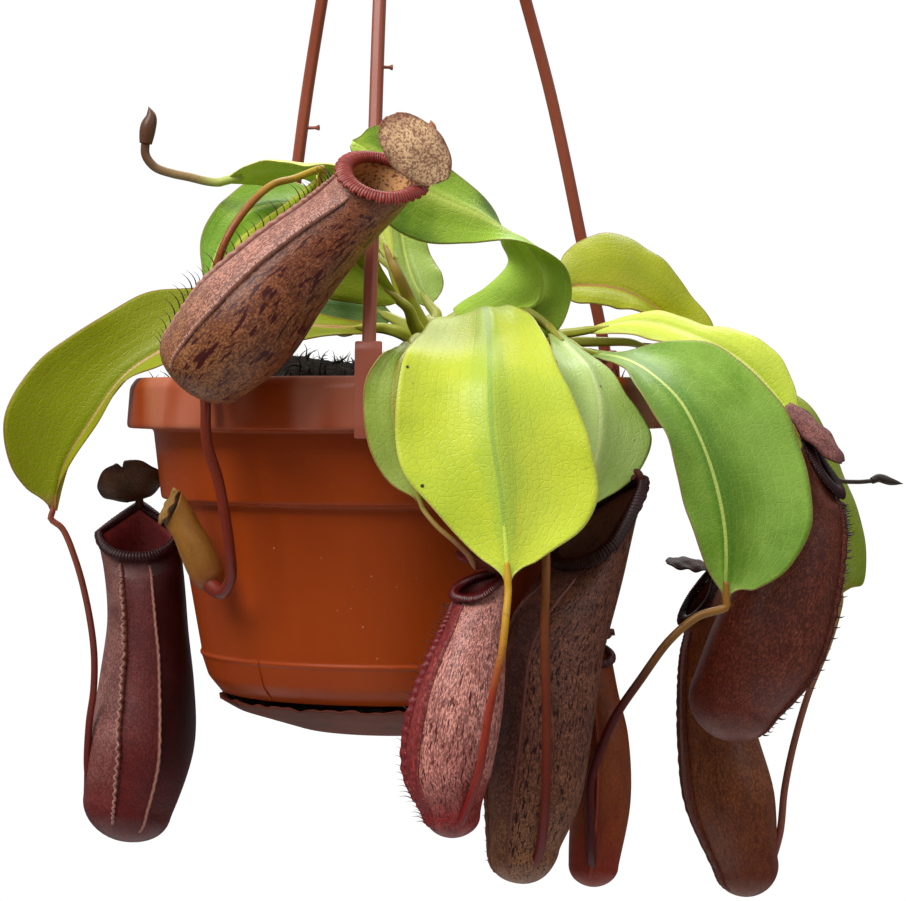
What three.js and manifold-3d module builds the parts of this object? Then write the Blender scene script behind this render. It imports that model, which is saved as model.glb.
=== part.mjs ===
// Hanging pitcher plant in a plastic hanging pot, millimetres, +Z up.
// The origin is the seat of the hook, where the pot hangs. Everything below is laid out in the pot's
// own frame, whose zero is the centre of the rim's top plane, and the whole group is then lowered.
import * as THREE from 'three';
import { mergeVertices } from 'three/addons/utils/BufferGeometryUtils.js';
import Module from 'manifold-3d';

const wasm = await Module();
wasm.setup();

// ---------- driving dimensions ----------
const HANG_DROP = 238; // hook seat above the rim's top plane
const RIM_R = 70; // outer radius of the turned-down rim
const GAP = 0.3; // running gap between neighbouring pieces
const BLADE_T = 0.8; // leaf thickness
const TIP_HALF = 0.8; // half width that a blade keeps at its ends
const WALL = 1.0; // pitcher wall
const ROD_R = 1.65; // hanger rod radius
const CLIP_W = 6.2; // width of a hanger clip
const POT_SIDES = 32;

const plant = new THREE.Group();
plant.position.z = -HANG_DROP;

// ---------- small helpers ----------
const v3 = (p) => new THREE.Vector3(p[0], p[1], p[2]);
const curve = (points) => new THREE.CatmullRomCurve3(points.map(v3), false, 'centripetal');
const smooth = (a, b, x) => THREE.MathUtils.smoothstep(x, a, b);
const lerp = THREE.MathUtils.lerp;

function addMesh(name, geometry, colour, roughness = 0.6) {
  geometry.computeVertexNormals();
  const material = new THREE.MeshStandardMaterial({ color: colour, roughness, metalness: 0 });
  const mesh = new THREE.Mesh(geometry, material);
  mesh.name = name;
  plant.add(mesh);
  return mesh;
}

function geometryFrom(points, triangles) {
  const geometry = new THREE.BufferGeometry();
  const flat = points.flatMap((p) => [p.x, p.y, p.z]);
  geometry.setAttribute('position', new THREE.Float32BufferAttribute(flat, 3));
  geometry.setIndex(triangles);
  return geometry;
}

function toSolid(geometry) {
  const bare = geometry.clone();
  bare.deleteAttribute('normal');
  bare.deleteAttribute('uv');
  const merged = mergeVertices(bare, 1e-4);
  const mesh = new wasm.Mesh({
    numProp: 3,
    vertProperties: new Float32Array(merged.attributes.position.array),
    triVerts: new Uint32Array(merged.index.array),
  });
  return new wasm.Manifold(mesh);
}

function fromSolid(solid) {
  const mesh = solid.getMesh();
  const geometry = new THREE.BufferGeometry();
  geometry.setAttribute('position', new THREE.BufferAttribute(mesh.vertProperties.slice(), 3));
  geometry.setIndex(new THREE.BufferAttribute(mesh.triVerts.slice(), 1));
  return geometry;
}

function joined(geometries) {
  return fromSolid(geometries.map(toSolid).reduce((a, b) => a.add(b)));
}

// ---------- lofts ----------
// Closed skin through rings of equal count, the first and last ring filled in.
function skin(rings) {
  const n = rings[0].length;
  const points = rings.flat();
  const triangles = [];
  for (let i = 0; i + 1 < rings.length; i++) {
    for (let j = 0; j < n; j++) {
      const a = i * n + j;
      const b = i * n + ((j + 1) % n);
      triangles.push(a, b, b + n, a, b + n, a + n);
    }
  }
  const cap = (start, flip) => {
    for (let j = 1; j + 1 < n; j++) {
      if (flip) triangles.push(start, start + j + 1, start + j);
      else triangles.push(start, start + j, start + j + 1);
    }
  };
  cap(0, true);
  cap((rings.length - 1) * n, false);
  return geometryFrom(points, triangles);
}

// Skin through rings that close on themselves, as round a mouth.
function hoop(sections) {
  const n = sections[0].length;
  const count = sections.length;
  const triangles = [];
  for (let i = 0; i < count; i++) {
    for (let j = 0; j < n; j++) {
      const a = i * n + j;
      const b = i * n + ((j + 1) % n);
      const c = ((i + 1) % count) * n + ((j + 1) % n);
      const d = ((i + 1) % count) * n + j;
      triangles.push(a, b, c, a, c, d);
    }
  }
  return geometryFrom(sections.flat(), triangles);
}

// Tube along a smooth curve, with a radius that changes evenly from r0 to r1.
function tube(points, r0, r1, steps, sides = 6) {
  const path = curve(points);
  const frames = path.computeFrenetFrames(steps, false);
  const rings = [];
  for (let i = 0; i <= steps; i++) {
    const u = i / steps;
    const centre = path.getPointAt(u);
    const r = lerp(r0, r1, u);
    const ring = [];
    for (let j = 0; j < sides; j++) {
      const a = (2 * Math.PI * j) / sides;
      ring.push(centre.clone()
        .addScaledVector(frames.normals[i], r * Math.cos(a))
        .addScaledVector(frames.binormals[i], r * Math.sin(a)));
    }
    rings.push(ring);
  }
  return skin(rings);
}

// Thin sheet from rows of points: both faces share one triangulation, so they never cross.
function sheet(rows, thickness) {
  const m = rows.length;
  const n = rows[0].length;
  const at = (i, j) => rows[THREE.MathUtils.clamp(i, 0, m - 1)][THREE.MathUtils.clamp(j, 0, n - 1)];
  const top = [];
  const bottom = [];
  for (let i = 0; i < m; i++) {
    for (let j = 0; j < n; j++) {
      const along = at(i + 1, j).clone().sub(at(i - 1, j));
      const across = at(i, j + 1).clone().sub(at(i, j - 1));
      const normal = across.cross(along).normalize();
      top.push(rows[i][j].clone().addScaledVector(normal, thickness / 2));
      bottom.push(rows[i][j].clone().addScaledVector(normal, -thickness / 2));
    }
  }
  const size = m * n;
  const triangles = [];
  for (let i = 0; i + 1 < m; i++) {
    for (let j = 0; j + 1 < n; j++) {
      const a = i * n + j;
      triangles.push(a, a + 1, a + n, a + 1, a + n + 1, a + n);
      triangles.push(size + a, size + a + n, size + a + 1, size + a + 1, size + a + n, size + a + n + 1);
    }
  }
  const border = [];
  for (let j = 0; j + 1 < n; j++) border.push(j);
  for (let i = 0; i + 1 < m; i++) border.push(i * n + n - 1);
  for (let j = n - 1; j > 0; j--) border.push((m - 1) * n + j);
  for (let i = m - 1; i > 0; i--) border.push(i * n);
  border.forEach((a, k) => {
    const b = border[(k + 1) % border.length];
    triangles.push(a, a + size, b + size, a, b + size, b);
  });
  return geometryFrom([...top, ...bottom], triangles);
}

// Leaf blade between three rails: left margin, midrib and right margin, from petiole to tip. Rails of
// one length are matched point by point, others by the distance along them. puff arches each half
// between the midrib and the margin, and wave is the height of the ripples along the margins.
function blade({ left, mid, right, rows = 12, puff = 0.1, wave = 0.6, waves = 3.3, phase = 0 }) {
  const rails = [left, mid, right].map(curve);
  const matched = left.length === right.length && left.length === mid.length;
  const grid = [];
  for (let i = 0; i <= rows; i++) {
    const u = i / rows;
    const [l, m, r] = rails.map((rail) => (matched ? rail.getPoint(u) : rail.getPointAt(u)));
    const before = rails[1].getPointAt(Math.max(0, u - 0.02));
    const ahead = rails[1].getPointAt(Math.min(1, u + 0.02)).sub(before).normalize();
    const end = i === 0 || i === rows; // both ends are cut square to the midrib
    [l, r].forEach((edge) => {
      const out = edge.clone().sub(m);
      if (end) out.addScaledVector(ahead, -out.dot(ahead));
      if (!end && out.length() >= TIP_HALF) return;
      edge.copy(m).add(out.setLength(Math.max(out.length(), TIP_HALF)));
    });
    const normal = r.clone().sub(l).cross(ahead).normalize();
    const ripple = Math.sin(2 * Math.PI * waves * u + phase) * wave * Math.sin(Math.PI * u);
    l.addScaledVector(normal, ripple);
    r.addScaledVector(normal, -ripple);
    const halves = [l, r].map((edge) => edge.clone().lerp(m, 0.5)
      .addScaledVector(normal, puff * edge.distanceTo(m)));
    grid.push([l, halves[0], m, halves[1], r]);
  }
  return sheet(grid, BLADE_T);
}

// ---------- pot ----------
const FOOT_Z = -80.4; // underside of the pot
const FLOOR_T = 2;
const POT_OUTSIDE = [
  [0, FOOT_Z], [46, FOOT_Z], [50, -73], [51.4, -70.6], [50.8, -69.8], [54.1, -51.6], [58, -32.2],
  [61.3, -31], [63.2, -13.2], [RIM_R, -12.8], [69, -2], [67, 0],
];
const POT_INSIDE = [
  [64.6, -2.5], [61.4, -13], [59.6, -30], [56.4, -32.6], [49.2, -69], [44.6, FOOT_Z + FLOOR_T],
  [0, FOOT_Z + FLOOR_T],
];
const STUD_HOLE_R = 4.3;
const DRAIN_HOLE_R = 3.5;
const DRAIN_RING_R = 28;

function lathe(profile, sides) {
  const points = profile.map(([r, z]) => new THREE.Vector2(r, z));
  const geometry = new THREE.LatheGeometry(points, sides);
  geometry.rotateX(Math.PI / 2);
  return geometry;
}

function pillar(r, z0, z1, x = 0, y = 0, sides = 16) {
  const geometry = new THREE.CylinderGeometry(r, r, z1 - z0, sides);
  geometry.rotateX(Math.PI / 2);
  geometry.translate(x, y, (z0 + z1) / 2);
  return geometry;
}

function makePot() {
  let body = toSolid(lathe([...POT_OUTSIDE, ...POT_INSIDE], POT_SIDES));
  const below = FOOT_Z - 2;
  const above = FOOT_Z + FLOOR_T + 2;
  body = body.subtract(toSolid(pillar(STUD_HOLE_R, below, above)));
  for (let i = 0; i < 4; i++) {
    const a = Math.PI / 4 + (i * Math.PI) / 2;
    const x = DRAIN_RING_R * Math.cos(a);
    const y = DRAIN_RING_R * Math.sin(a);
    body = body.subtract(toSolid(pillar(DRAIN_HOLE_R, below, above, x, y, 10)));
  }
  addMesh('pot', fromSolid(body), 0xa54b28, 0.45);
}

// ---------- saucer: a shallow dish snapped under the pot by a central stud ----------
const SAUCER_RIM_Z = -82;
const SAUCER_T = 1.4;
const SAUCER_FLOOR_Z = -90.3;
const STUD_R = STUD_HOLE_R - GAP;
const STUD_HEAD_R = 5.4;
const SAUCER_RIB_T = 1.6;
const SAUCER_RIB = [[30.5, -87.6], [39.5, -84.8], [39.5, FOOT_Z - GAP], [30.5, FOOT_Z - GAP]]; // radius, height

function makeSaucer() {
  const dish = lathe([
    [0, SAUCER_FLOOR_Z], [25, SAUCER_FLOOR_Z], [42, -85], [46.8, SAUCER_RIM_Z],
    [45.6, SAUCER_RIM_Z + 0.3], [41.4, -83.6], [24.6, SAUCER_FLOOR_Z + SAUCER_T],
    [0, SAUCER_FLOOR_Z + SAUCER_T],
  ], POT_SIDES);
  const headZ = FOOT_Z + FLOOR_T + GAP;
  const stud = lathe([
    [0, SAUCER_FLOOR_Z + 0.5], [STUD_R, SAUCER_FLOOR_Z + 0.5], [STUD_R, headZ], [STUD_HEAD_R, headZ],
    [STUD_HEAD_R - 0.6, headZ + 1.2], [3, headZ + 3], [0, headZ + 3],
  ], 16);
  const ribs = [];
  for (let i = 0; i < 6; i++) {
    const a = (i * Math.PI) / 3 + Math.PI / 6;
    const shape = new THREE.Shape(SAUCER_RIB.map(([r, z]) => new THREE.Vector2(r, z)));
    const rib = new THREE.ExtrudeGeometry(shape, { depth: SAUCER_RIB_T, bevelEnabled: false });
    rib.rotateX(Math.PI / 2);
    rib.translate(0, SAUCER_RIB_T / 2, 0);
    rib.rotateZ(a);
    ribs.push(rib);
  }
  addMesh('saucer', joined([dish, stud, ...ribs]), 0x693c2d, 0.5);
}

// ---------- soil ----------
const STEM_X = 8;
const STEM_Y = 0;
const STEM_R = 6.2;
const STEM_FOOT_Z = -12; // the stem stands in a plain hole in the soil
const STEM_HOLE_R = STEM_R + 0.5;
const SOIL_R = 64.2;

function soilHeight(x, y) {
  const r = Math.hypot(x, y);
  const lumps = Math.sin(0.31 * x + 1) * Math.cos(0.27 * y) + 0.6 * Math.sin(0.55 * y - 0.4 * x);
  const mound = 3.2 * Math.exp(-((x + 26) ** 2 + (y + 34) ** 2) / 260);
  return 1.4 + 0.7 * lumps + mound - 4.6 * smooth(48, SOIL_R, r);
}

function makeSoil() {
  const radii = [54, 40, 25, 9];
  const ringAt = (r, z) => {
    const ring = [];
    for (let j = 0; j < POT_SIDES; j++) {
      const a = (2 * Math.PI * j) / POT_SIDES - Math.PI / 2;
      const x = r * Math.cos(a);
      const y = r * Math.sin(a);
      ring.push(new THREE.Vector3(x, y, z === undefined ? soilHeight(x, y) : z));
    }
    return ring;
  };
  const floor = FOOT_Z + FLOOR_T + GAP;
  const wall = POT_INSIDE.slice(1, -1).reverse().map(([r, z]) => [r - GAP - 0.1, Math.max(z, floor)]);
  const sides = wall.map(([r, z]) => ringAt(r, z));
  const rings = [...sides, ringAt(SOIL_R - 1, -4.2), ...radii.map((r) => ringAt(r))];
  const stemHole = pillar(STEM_HOLE_R, STEM_FOOT_Z - GAP, 12, STEM_X, STEM_Y);
  const studPocket = pillar(STUD_HEAD_R + GAP, floor - 1, floor + 3.6);
  const soil = toSolid(skin(rings)).subtract(toSolid(stemHole)).subtract(toSolid(studPocket));
  addMesh('soil', fromSolid(soil), 0x17120e, 0.95);
}

// ---------- hanger: hook, hub, three bowed rods and three clips, moulded in one ----------
const ROD_AZIMUTHS = [34, 120.5, 264.3].map(THREE.MathUtils.degToRad);
const HUB_Z = 203;
const HOOK_R = 9;
const HOOK_WIRE_R = 1.9;
const HOOK_CENTRE_Z = HANG_DROP - HOOK_R + HOOK_WIRE_R;

// Profile of a clip in (radius, height): a plate down the outside of the rim with a lip under it.
const CLIP_PROFILE = [
  [RIM_R + GAP + 0.1, -13.2 - GAP], [RIM_R - 4, -13.2 - GAP], [RIM_R - 4, -14.9], [RIM_R + 2, -14.9],
  [RIM_R + 2.4, -12], [RIM_R + 1.4, 0], [RIM_R + 0.6, 8], [RIM_R - 1.6, 8], [RIM_R - 1.2, 0.6],
  [RIM_R - 0.2, -1],
];

function makeHanger() {
  const parts = [];
  for (const azimuth of ROD_AZIMUTHS) {
    const c = Math.cos(azimuth);
    const s = Math.sin(azimuth);
    const bow = [[69, 5.5], [66.2, 17], [60, 39], [54.5, 60], [49, 79], [40, 105], [23, 152], [3, HUB_Z]];
    parts.push(tube(bow.map(([r, z]) => [r * c, r * s, z]), ROD_R, ROD_R, 14, 7));
    const shape = new THREE.Shape(CLIP_PROFILE.map(([r, z]) => new THREE.Vector2(r, z)));
    const clip = new THREE.ExtrudeGeometry(shape, { depth: CLIP_W, bevelEnabled: false });
    clip.rotateX(Math.PI / 2);
    clip.translate(0, CLIP_W / 2, 0);
    clip.rotateZ(azimuth);
    parts.push(clip);
  }
  parts.push(lathe([[0, HUB_Z - 4], [4, HUB_Z - 3], [5, HUB_Z], [3.4, HUB_Z + 5], [1.9, HUB_Z + 8],
    [0, HUB_Z + 8]], 12));
  const wire = [[0, 0, HUB_Z + 5], [0, 0, HUB_Z + 9], [-4, 0, HUB_Z + 15], [-8.2, 0, HOOK_CENTRE_Z - 5]];
  for (let i = 0; i <= 7; i++) {
    const a = Math.PI - (i * Math.PI) / 6;
    wire.push([HOOK_R * Math.cos(a), 0, HOOK_CENTRE_Z + HOOK_R * Math.sin(a)]);
  }
  parts.push(tube(wire, HOOK_WIRE_R, HOOK_WIRE_R - 0.2, 16, 8));
  addMesh('hanger', joined(parts), 0x96493a, 0.5);
}

// ---------- stem and petioles ----------
// Where each petiole leaves the stem and how it runs; its end comes from its leaf's first points.
const PETIOLES = [
  [[7, -1, 8], [1, -3, 11.6]],
  [[9, -3, 5], [13, -16, 6.5], [15.6, -23, 9]],
  [[10, -4, 5], [17, -20, 7], [24, -31, 11], [31, -36, 16]],
  [[11, 0, 6], [30, -5, 10], [43, -13, 9]],
  [[10, 2, 12], [25, 3, 21]],
  [[11, 2, 5], [30, 2, 9], [42, 0, 11.4]],
  [[8, -3, 8], [8.6, -8, 11.5]],
  [[7, -2, 12], [3, -7, 20]],
  [[6, 0, 14], [1, 0.5, 22]],
  [[7, -4, 9], [4, -11, 14]],
  [[8, 2, 8], [8.8, 4, 13]],
  [[6, 5, 9], [3, 9, 13.5]],
  [[8, -5, 5], [7, -20, 8], [5, -34, 9.5]],
  [[11, 4, 4], [36, 9, 9], [55, 14.6, 9.8]],
];
const PETIOLE_R = 2.2;
const PETIOLE_END_R = 1.1;
const NODE_GAP = 0.65; // from a petiole's end to its blade, and from a blade's tip to its tendril

function makeStem() {
  const column = lathe([[0, STEM_FOOT_Z], [STEM_R - 1, STEM_FOOT_Z], [STEM_R, STEM_FOOT_Z + 2], [STEM_R, 3],
    [5.2, 9], [3, 15], [0, 16.5]], 10);
  column.translate(STEM_X, STEM_Y, 0);
  const stalks = PETIOLES.map((points, i) => {
    const [from, next] = LEAVES[i].mid.map(v3);
    const ahead = next.sub(from).normalize();
    const ends = [-3.5, -NODE_GAP].map((d) => from.clone().addScaledVector(ahead, d).toArray());
    return tube([...points, ...ends], PETIOLE_R, PETIOLE_END_R, 5, 5);
  });
  addMesh('stem', joined([column, ...stalks]), 0xa5a528, 0.5);
}

// ---------- leaves ----------
const LEAVES = [
  { colour: 0x7d910a,
    left: [[-6.7, -4, 14.2], [-17.5, -6, 16], [-35, -4, 22], [-53.5, -6, 23.4], [-64, -9, 22],
      [-76, -14, 14.7],
      [-90.7, -18, 4.4], [-99, -20, -9.5], [-98, -18, -22], [-93.7, -15, -29], [-88.5, -12, -34.4]],
    mid: [[-6.7, -4, 12.9], [-17.5, -8, 13.3], [-35, -10, 13.8], [-53.2, -12, 10], [-68.3, -14, 1.4],
      [-78, -14, -11.3], [-84.8, -13, -22.3], [-88, -12, -33.8]],
    right: [[-6.7, -4, 11.4], [-17.4, -10, 10.7], [-34.6, -16, 8.2], [-51, -18, 6.2], [-61, -19.5, 2.8],
      [-69, -20.5, -1.2], [-76, -19, -11.8], [-82.8, -17, -21.5], [-86.7, -14, -28.7], [-88, -12, -34.4]] },
  { colour: 0xc8d73c, rows: 14, wave: 0.8,
    left: [[13.5, -30, 13.7], [10.3, -42, 14.3], [6.2, -56, 11.4], [1.4, -74, 4], [-0.5, -80, -8.2],
      [0.9, -82, -22], [7.3, -83, -30], [16.5, -84, -40], [24.7, -86, -47]],
    mid: [[17.4, -30, 14.7], [21, -42, 17.2], [21.6, -56, 12.2], [21.4, -76, 0], [21.6, -82, -12.8],
      [23.4, -84, -25.3], [24.7, -85, -38], [25.1, -86, -47]],
    right: [[20.4, -30, 15.2], [27, -42, 17.5], [31.7, -54, 14.4], [38.4, -70, 1.2], [44.2, -75, -15],
      [46.5, -78, -27.6], [43.2, -80, -35], [35, -83, -40.8], [25.6, -86, -47]] },
  { colour: 0x8caa6e,
    left: [[37.2, -38, 10.2], [37.3, -48, 6.4], [37.8, -58, 2.4], [38, -64, -5], [37.6, -66, -15],
      [35.5, -66, -26], [34, -67, -33], [35.2, -68, -36.6]],
    mid: [[38.4, -37, 11], [42.4, -45, 6.6], [46, -53, 2.2], [48.3, -59, -6], [48, -62, -16], [45, -65, -25],
      [40, -67, -32.5], [35.8, -68, -37]],
    right: [[39.8, -37, 11.4], [45.4, -42, 6.4], [51, -46, 1.6], [56.2, -49, -5], [60.6, -50, -12.4],
      [60.4, -51, -18.4],
      [56.5, -54, -25], [48, -62, -29.8], [41, -66, -34], [36.2, -68, -37]] },
  { colour: 0x6ea03c, rows: 14,
    left: [[47.9, -18, 5.4], [53, -36, 3.6], [57.5, -54, -2], [63.4, -57, -12.6], [67.7, -55, -26.2],
      [71.2, -53, -37], [75, -50, -47], [79.5, -48, -53.8]],
    mid: [[48.2, -18, 6.4], [55.3, -30, 5], [61.8, -40, 1.1], [68.7, -45, -5.8], [73.2, -48, -14.5],
      [77, -49, -25.2], [79.4, -49, -37.3], [79.8, -48, -53.8]],
    right: [[48.4, -18, 7.4], [56.3, -24, 6.3], [68.7, -26, 9], [80, -27, 8.3], [89, -30, 0.2],
      [97.4, -32, -10.2],
      [102, -34, -24.3], [102, -36, -37.4], [95.6, -41, -47.7], [87, -45, -52.3], [80, -48, -54]] },
  { colour: 0xa5aa14,
    left: [[41.2, 2, 23.8], [44, 12, 33], [50.7, 18, 37.5], [60, 20, 38.5], [69, 18, 33], [77, 16, 23.6],
      [83.2, 13, 15], [84.6, 12, 7.5]],
    mid: [[41.2, 2, 23], [47.7, 6, 24.2], [58.5, 10, 23.3], [68, 13, 18.7], [77.4, 14, 11.6], [84, 12, 7]],
    right: [[41.2, 2, 22.2], [46.8, 0, 19.5], [55.8, 2, 18.8], [65.6, 6, 16.3], [74.8, 9, 10.6],
      [83.6, 12, 6.5]] },
  { colour: 0xcddc5a, rows: 10,
    left: [[49.8, -2, 13.2], [65.5, 0, 17.2], [78.5, 0, 14.6], [89.3, -1, 11.7], [98.4, -3, 6.7],
      [102.3, -5, -1.8],
      [104, -8, -13.4]],
    mid: [[49.8, -2, 12.5], [62.6, -4, 14.5], [75.3, -6, 11.3], [88.2, -6, 4.6], [97.2, -6, -4.4],
      [103.4, -8, -13.9]],
    right: [[49.8, -2, 11.4], [62.2, -8, 10.7], [74.7, -12, 6.6], [84.8, -13, -2], [93.8, -12, -9.6],
      [103, -8, -14.5]] },
  { colour: 0x6ea528, rows: 20, wave: 0, puff: 0.05,
    left: [[9.5, -15, 13.6], [16.3, -17, 19.2], [22.5, -20, 23], [27.9, -20, 29], [26, -23, 33.8],
      [25.2, -30, 38.6],
      [21, -40, 44], [12, -48, 50.7], [3, -56, 57.4], [-5.2, -60, 59.4], [-10.9, -62, 56]],
    mid: [[13.7, -16, 13.8], [26.9, -24, 15.5], [35.7, -29, 19.7], [35.5, -33, 28], [31.6, -37, 33.7],
      [26.4, -42, 36], [19.4, -48, 39.3], [10, -53, 42.8], [1, -58, 47.2], [-6.2, -61.5, 52.7],
      [-10.9, -62, 55]],
    right: [[18.3, -18, 12.6], [38.7, -25, 10.5], [43.2, -26, 19], [42.3, -32, 26], [36, -41, 30.7],
      [27.7, -47, 33], [17, -51, 32], [6.2, -55, 32], [-2.9, -62, 36.5], [-9, -64, 46.3],
      [-11.2, -62, 54]] },
  { colour: 0xbedc6e, rows: 10,
    left: [[-0.5, -12, 30], [-3.6, -12, 42.3], [-13.4, -11, 52.9], [-26.2, -8, 55], [-38.3, -4, 55],
      [-44.7, 3, 52]],
    mid: [[-1.6, -10, 30], [-6.7, -8, 41.5], [-15, -3, 51.5], [-26.9, 2, 54], [-37.3, 3, 53.3],
      [-44.4, 3, 51.5]],
    right: [[-2.6, -8, 30.2], [-9.9, -2, 40.3], [-17.4, 6, 49.7], [-28, 10, 52], [-37.4, 8, 50.7],
      [-44, 3, 50.7]] },
  { colour: 0x6ea53c, rows: 10,
    left: [[-3.7, 1, 31.5], [-14, 13, 46], [-26.3, 20, 52.3], [-37.8, 16, 52.6], [-46.2, 6, 46.2],
      [-50.8, -3, 36.2],
      [-50, -10, 27.6], [-48.7, -14, 22]],
    mid: [[-3.7, 2, 30.7], [-14, 9, 40.5], [-26, 12, 46], [-36.8, 8, 44.8], [-43.7, 0, 38.5],
      [-47.3, -8, 29.8],
      [-48.4, -14, 21.8]],
    right: [[-4, 3, 30], [-14.8, 6, 34.4], [-25.7, 5, 36.3], [-33.8, 0, 36], [-38.2, -6, 30], [-43, -12, 24],
      [-48.2, -14, 21.6]] },
  { colour: 0xa0b428, rows: 10,
    left: [[0.5, -18, 18], [-7.6, -22, 18.2], [-19.5, -26, 20.3], [-34, -30, 26], [-41, -32, 31.2],
      [-35, -35, 37.3],
      [-27.8, -38, 42.5], [-19.4, -40, 48.5]],
    mid: [[0, -18, 19.6], [-6.6, -22, 25], [-13.2, -28, 31.2], [-18.8, -34, 37.8], [-20.2, -38, 44],
      [-18.9, -40, 48.7]],
    right: [[-0.3, -18, 21], [-4, -24, 27.4], [-7.5, -32, 34.5], [-10.8, -38, 41], [-14.2, -41, 46.2],
      [-18.4, -40, 49]] },
  { colour: 0x8caa50, rows: 8,
    left: [[7.6, 6, 18.6], [0, 10, 22.6], [-3.2, 14, 31.2], [-3.7, 17, 42], [0.5, 20, 50.2]],
    mid: [[8.4, 6.3, 18.9], [4.2, 11, 25.4], [1.6, 16, 34], [0.5, 18, 43.7], [1, 20, 50.5]],
    right: [[9.4, 6, 19.2], [12, 12, 25.4], [8.5, 16, 33.6], [5.3, 19, 42.4], [1.6, 20, 50.5]] },
  { colour: 0x5a8246, rows: 10,
    left: [[-1.6, 14, 16.9], [-7.5, 22, 23.8], [-13.5, 29, 26.8], [-20, 33, 26.5], [-25, 33, 20]],
    mid: [[-1.6, 14, 16], [-8, 20, 19.5], [-14.3, 26, 21.3], [-19.8, 30, 21.5], [-25, 32, 18.8]],
    right: [[-1.6, 14, 15], [-7.5, 18, 13], [-13.9, 22, 11.5], [-20, 27, 13.2], [-25, 31, 17.7]] },
  { colour: 0x8c9b1e, rows: 10,
    left: [[2.4, -46, 8.6], [0.6, -62, 7.4], [-1.4, -72.5, 6.2], [-4.8, -76, 3.4], [-7.4, -76.5, -1],
      [-8, -77, -7.7],
      [-6.5, -76.5, -17.5], [-2, -76.5, -25], [4.6, -77, -29]],
    mid: [[3.4, -46, 8.2], [2.2, -62, 6.6], [0.2, -73, 3], [-1, -76.5, -3], [-0.9, -77.4, -10.5],
      [1.4, -77, -19.8],
      [5, -77, -29]],
    right: [[4.4, -46, 7.8], [4.4, -62, 5.4], [4.6, -73, 1.6], [5.2, -75.4, -5], [6.5, -75.7, -11.6],
      [8, -75.7, -19.8], [7.4, -76.7, -25.8], [5.6, -77, -29]] },
  { colour: 0x7d910a, rows: 10,
    left: [[64.5, 18, 9.8], [79.8, 30, 7.9], [96, 35, 2], [110.6, 33, -6], [122, 31, -27], [126.7, 29, -45],
      [125, 24, -56.2], [119.6, 22, -58]],
    mid: [[64.5, 18, 9], [78, 26, 5.8], [93.8, 29, -3], [107.3, 27, -14], [116, 25, -30], [119.4, 24, -44.6],
      [119, 22, -57.7]],
    right: [[64.4, 18, 8], [76.5, 22, 2], [90, 22, -8], [101.6, 20, -20], [109, 20, -35], [113, 21, -48.5],
      [118.5, 22, -57.7]] },
];

// The first two points of a tendril, straight on from the tip of its leaf.
function beyondTip(leafNumber) {
  const [before, tip] = LEAVES[leafNumber - 1].mid.slice(-2).map(v3);
  const ahead = tip.clone().sub(before).normalize();
  return [NODE_GAP, NODE_GAP + 1.6].map((d) => tip.clone().addScaledVector(ahead, d).toArray());
}

function makeLeaves() {
  LEAVES.forEach((leaf, i) => {
    addMesh(`leaf_${i + 1}`, blade({ phase: 1.7 * i, ...leaf }), leaf.colour, 0.4);
  });
}

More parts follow.
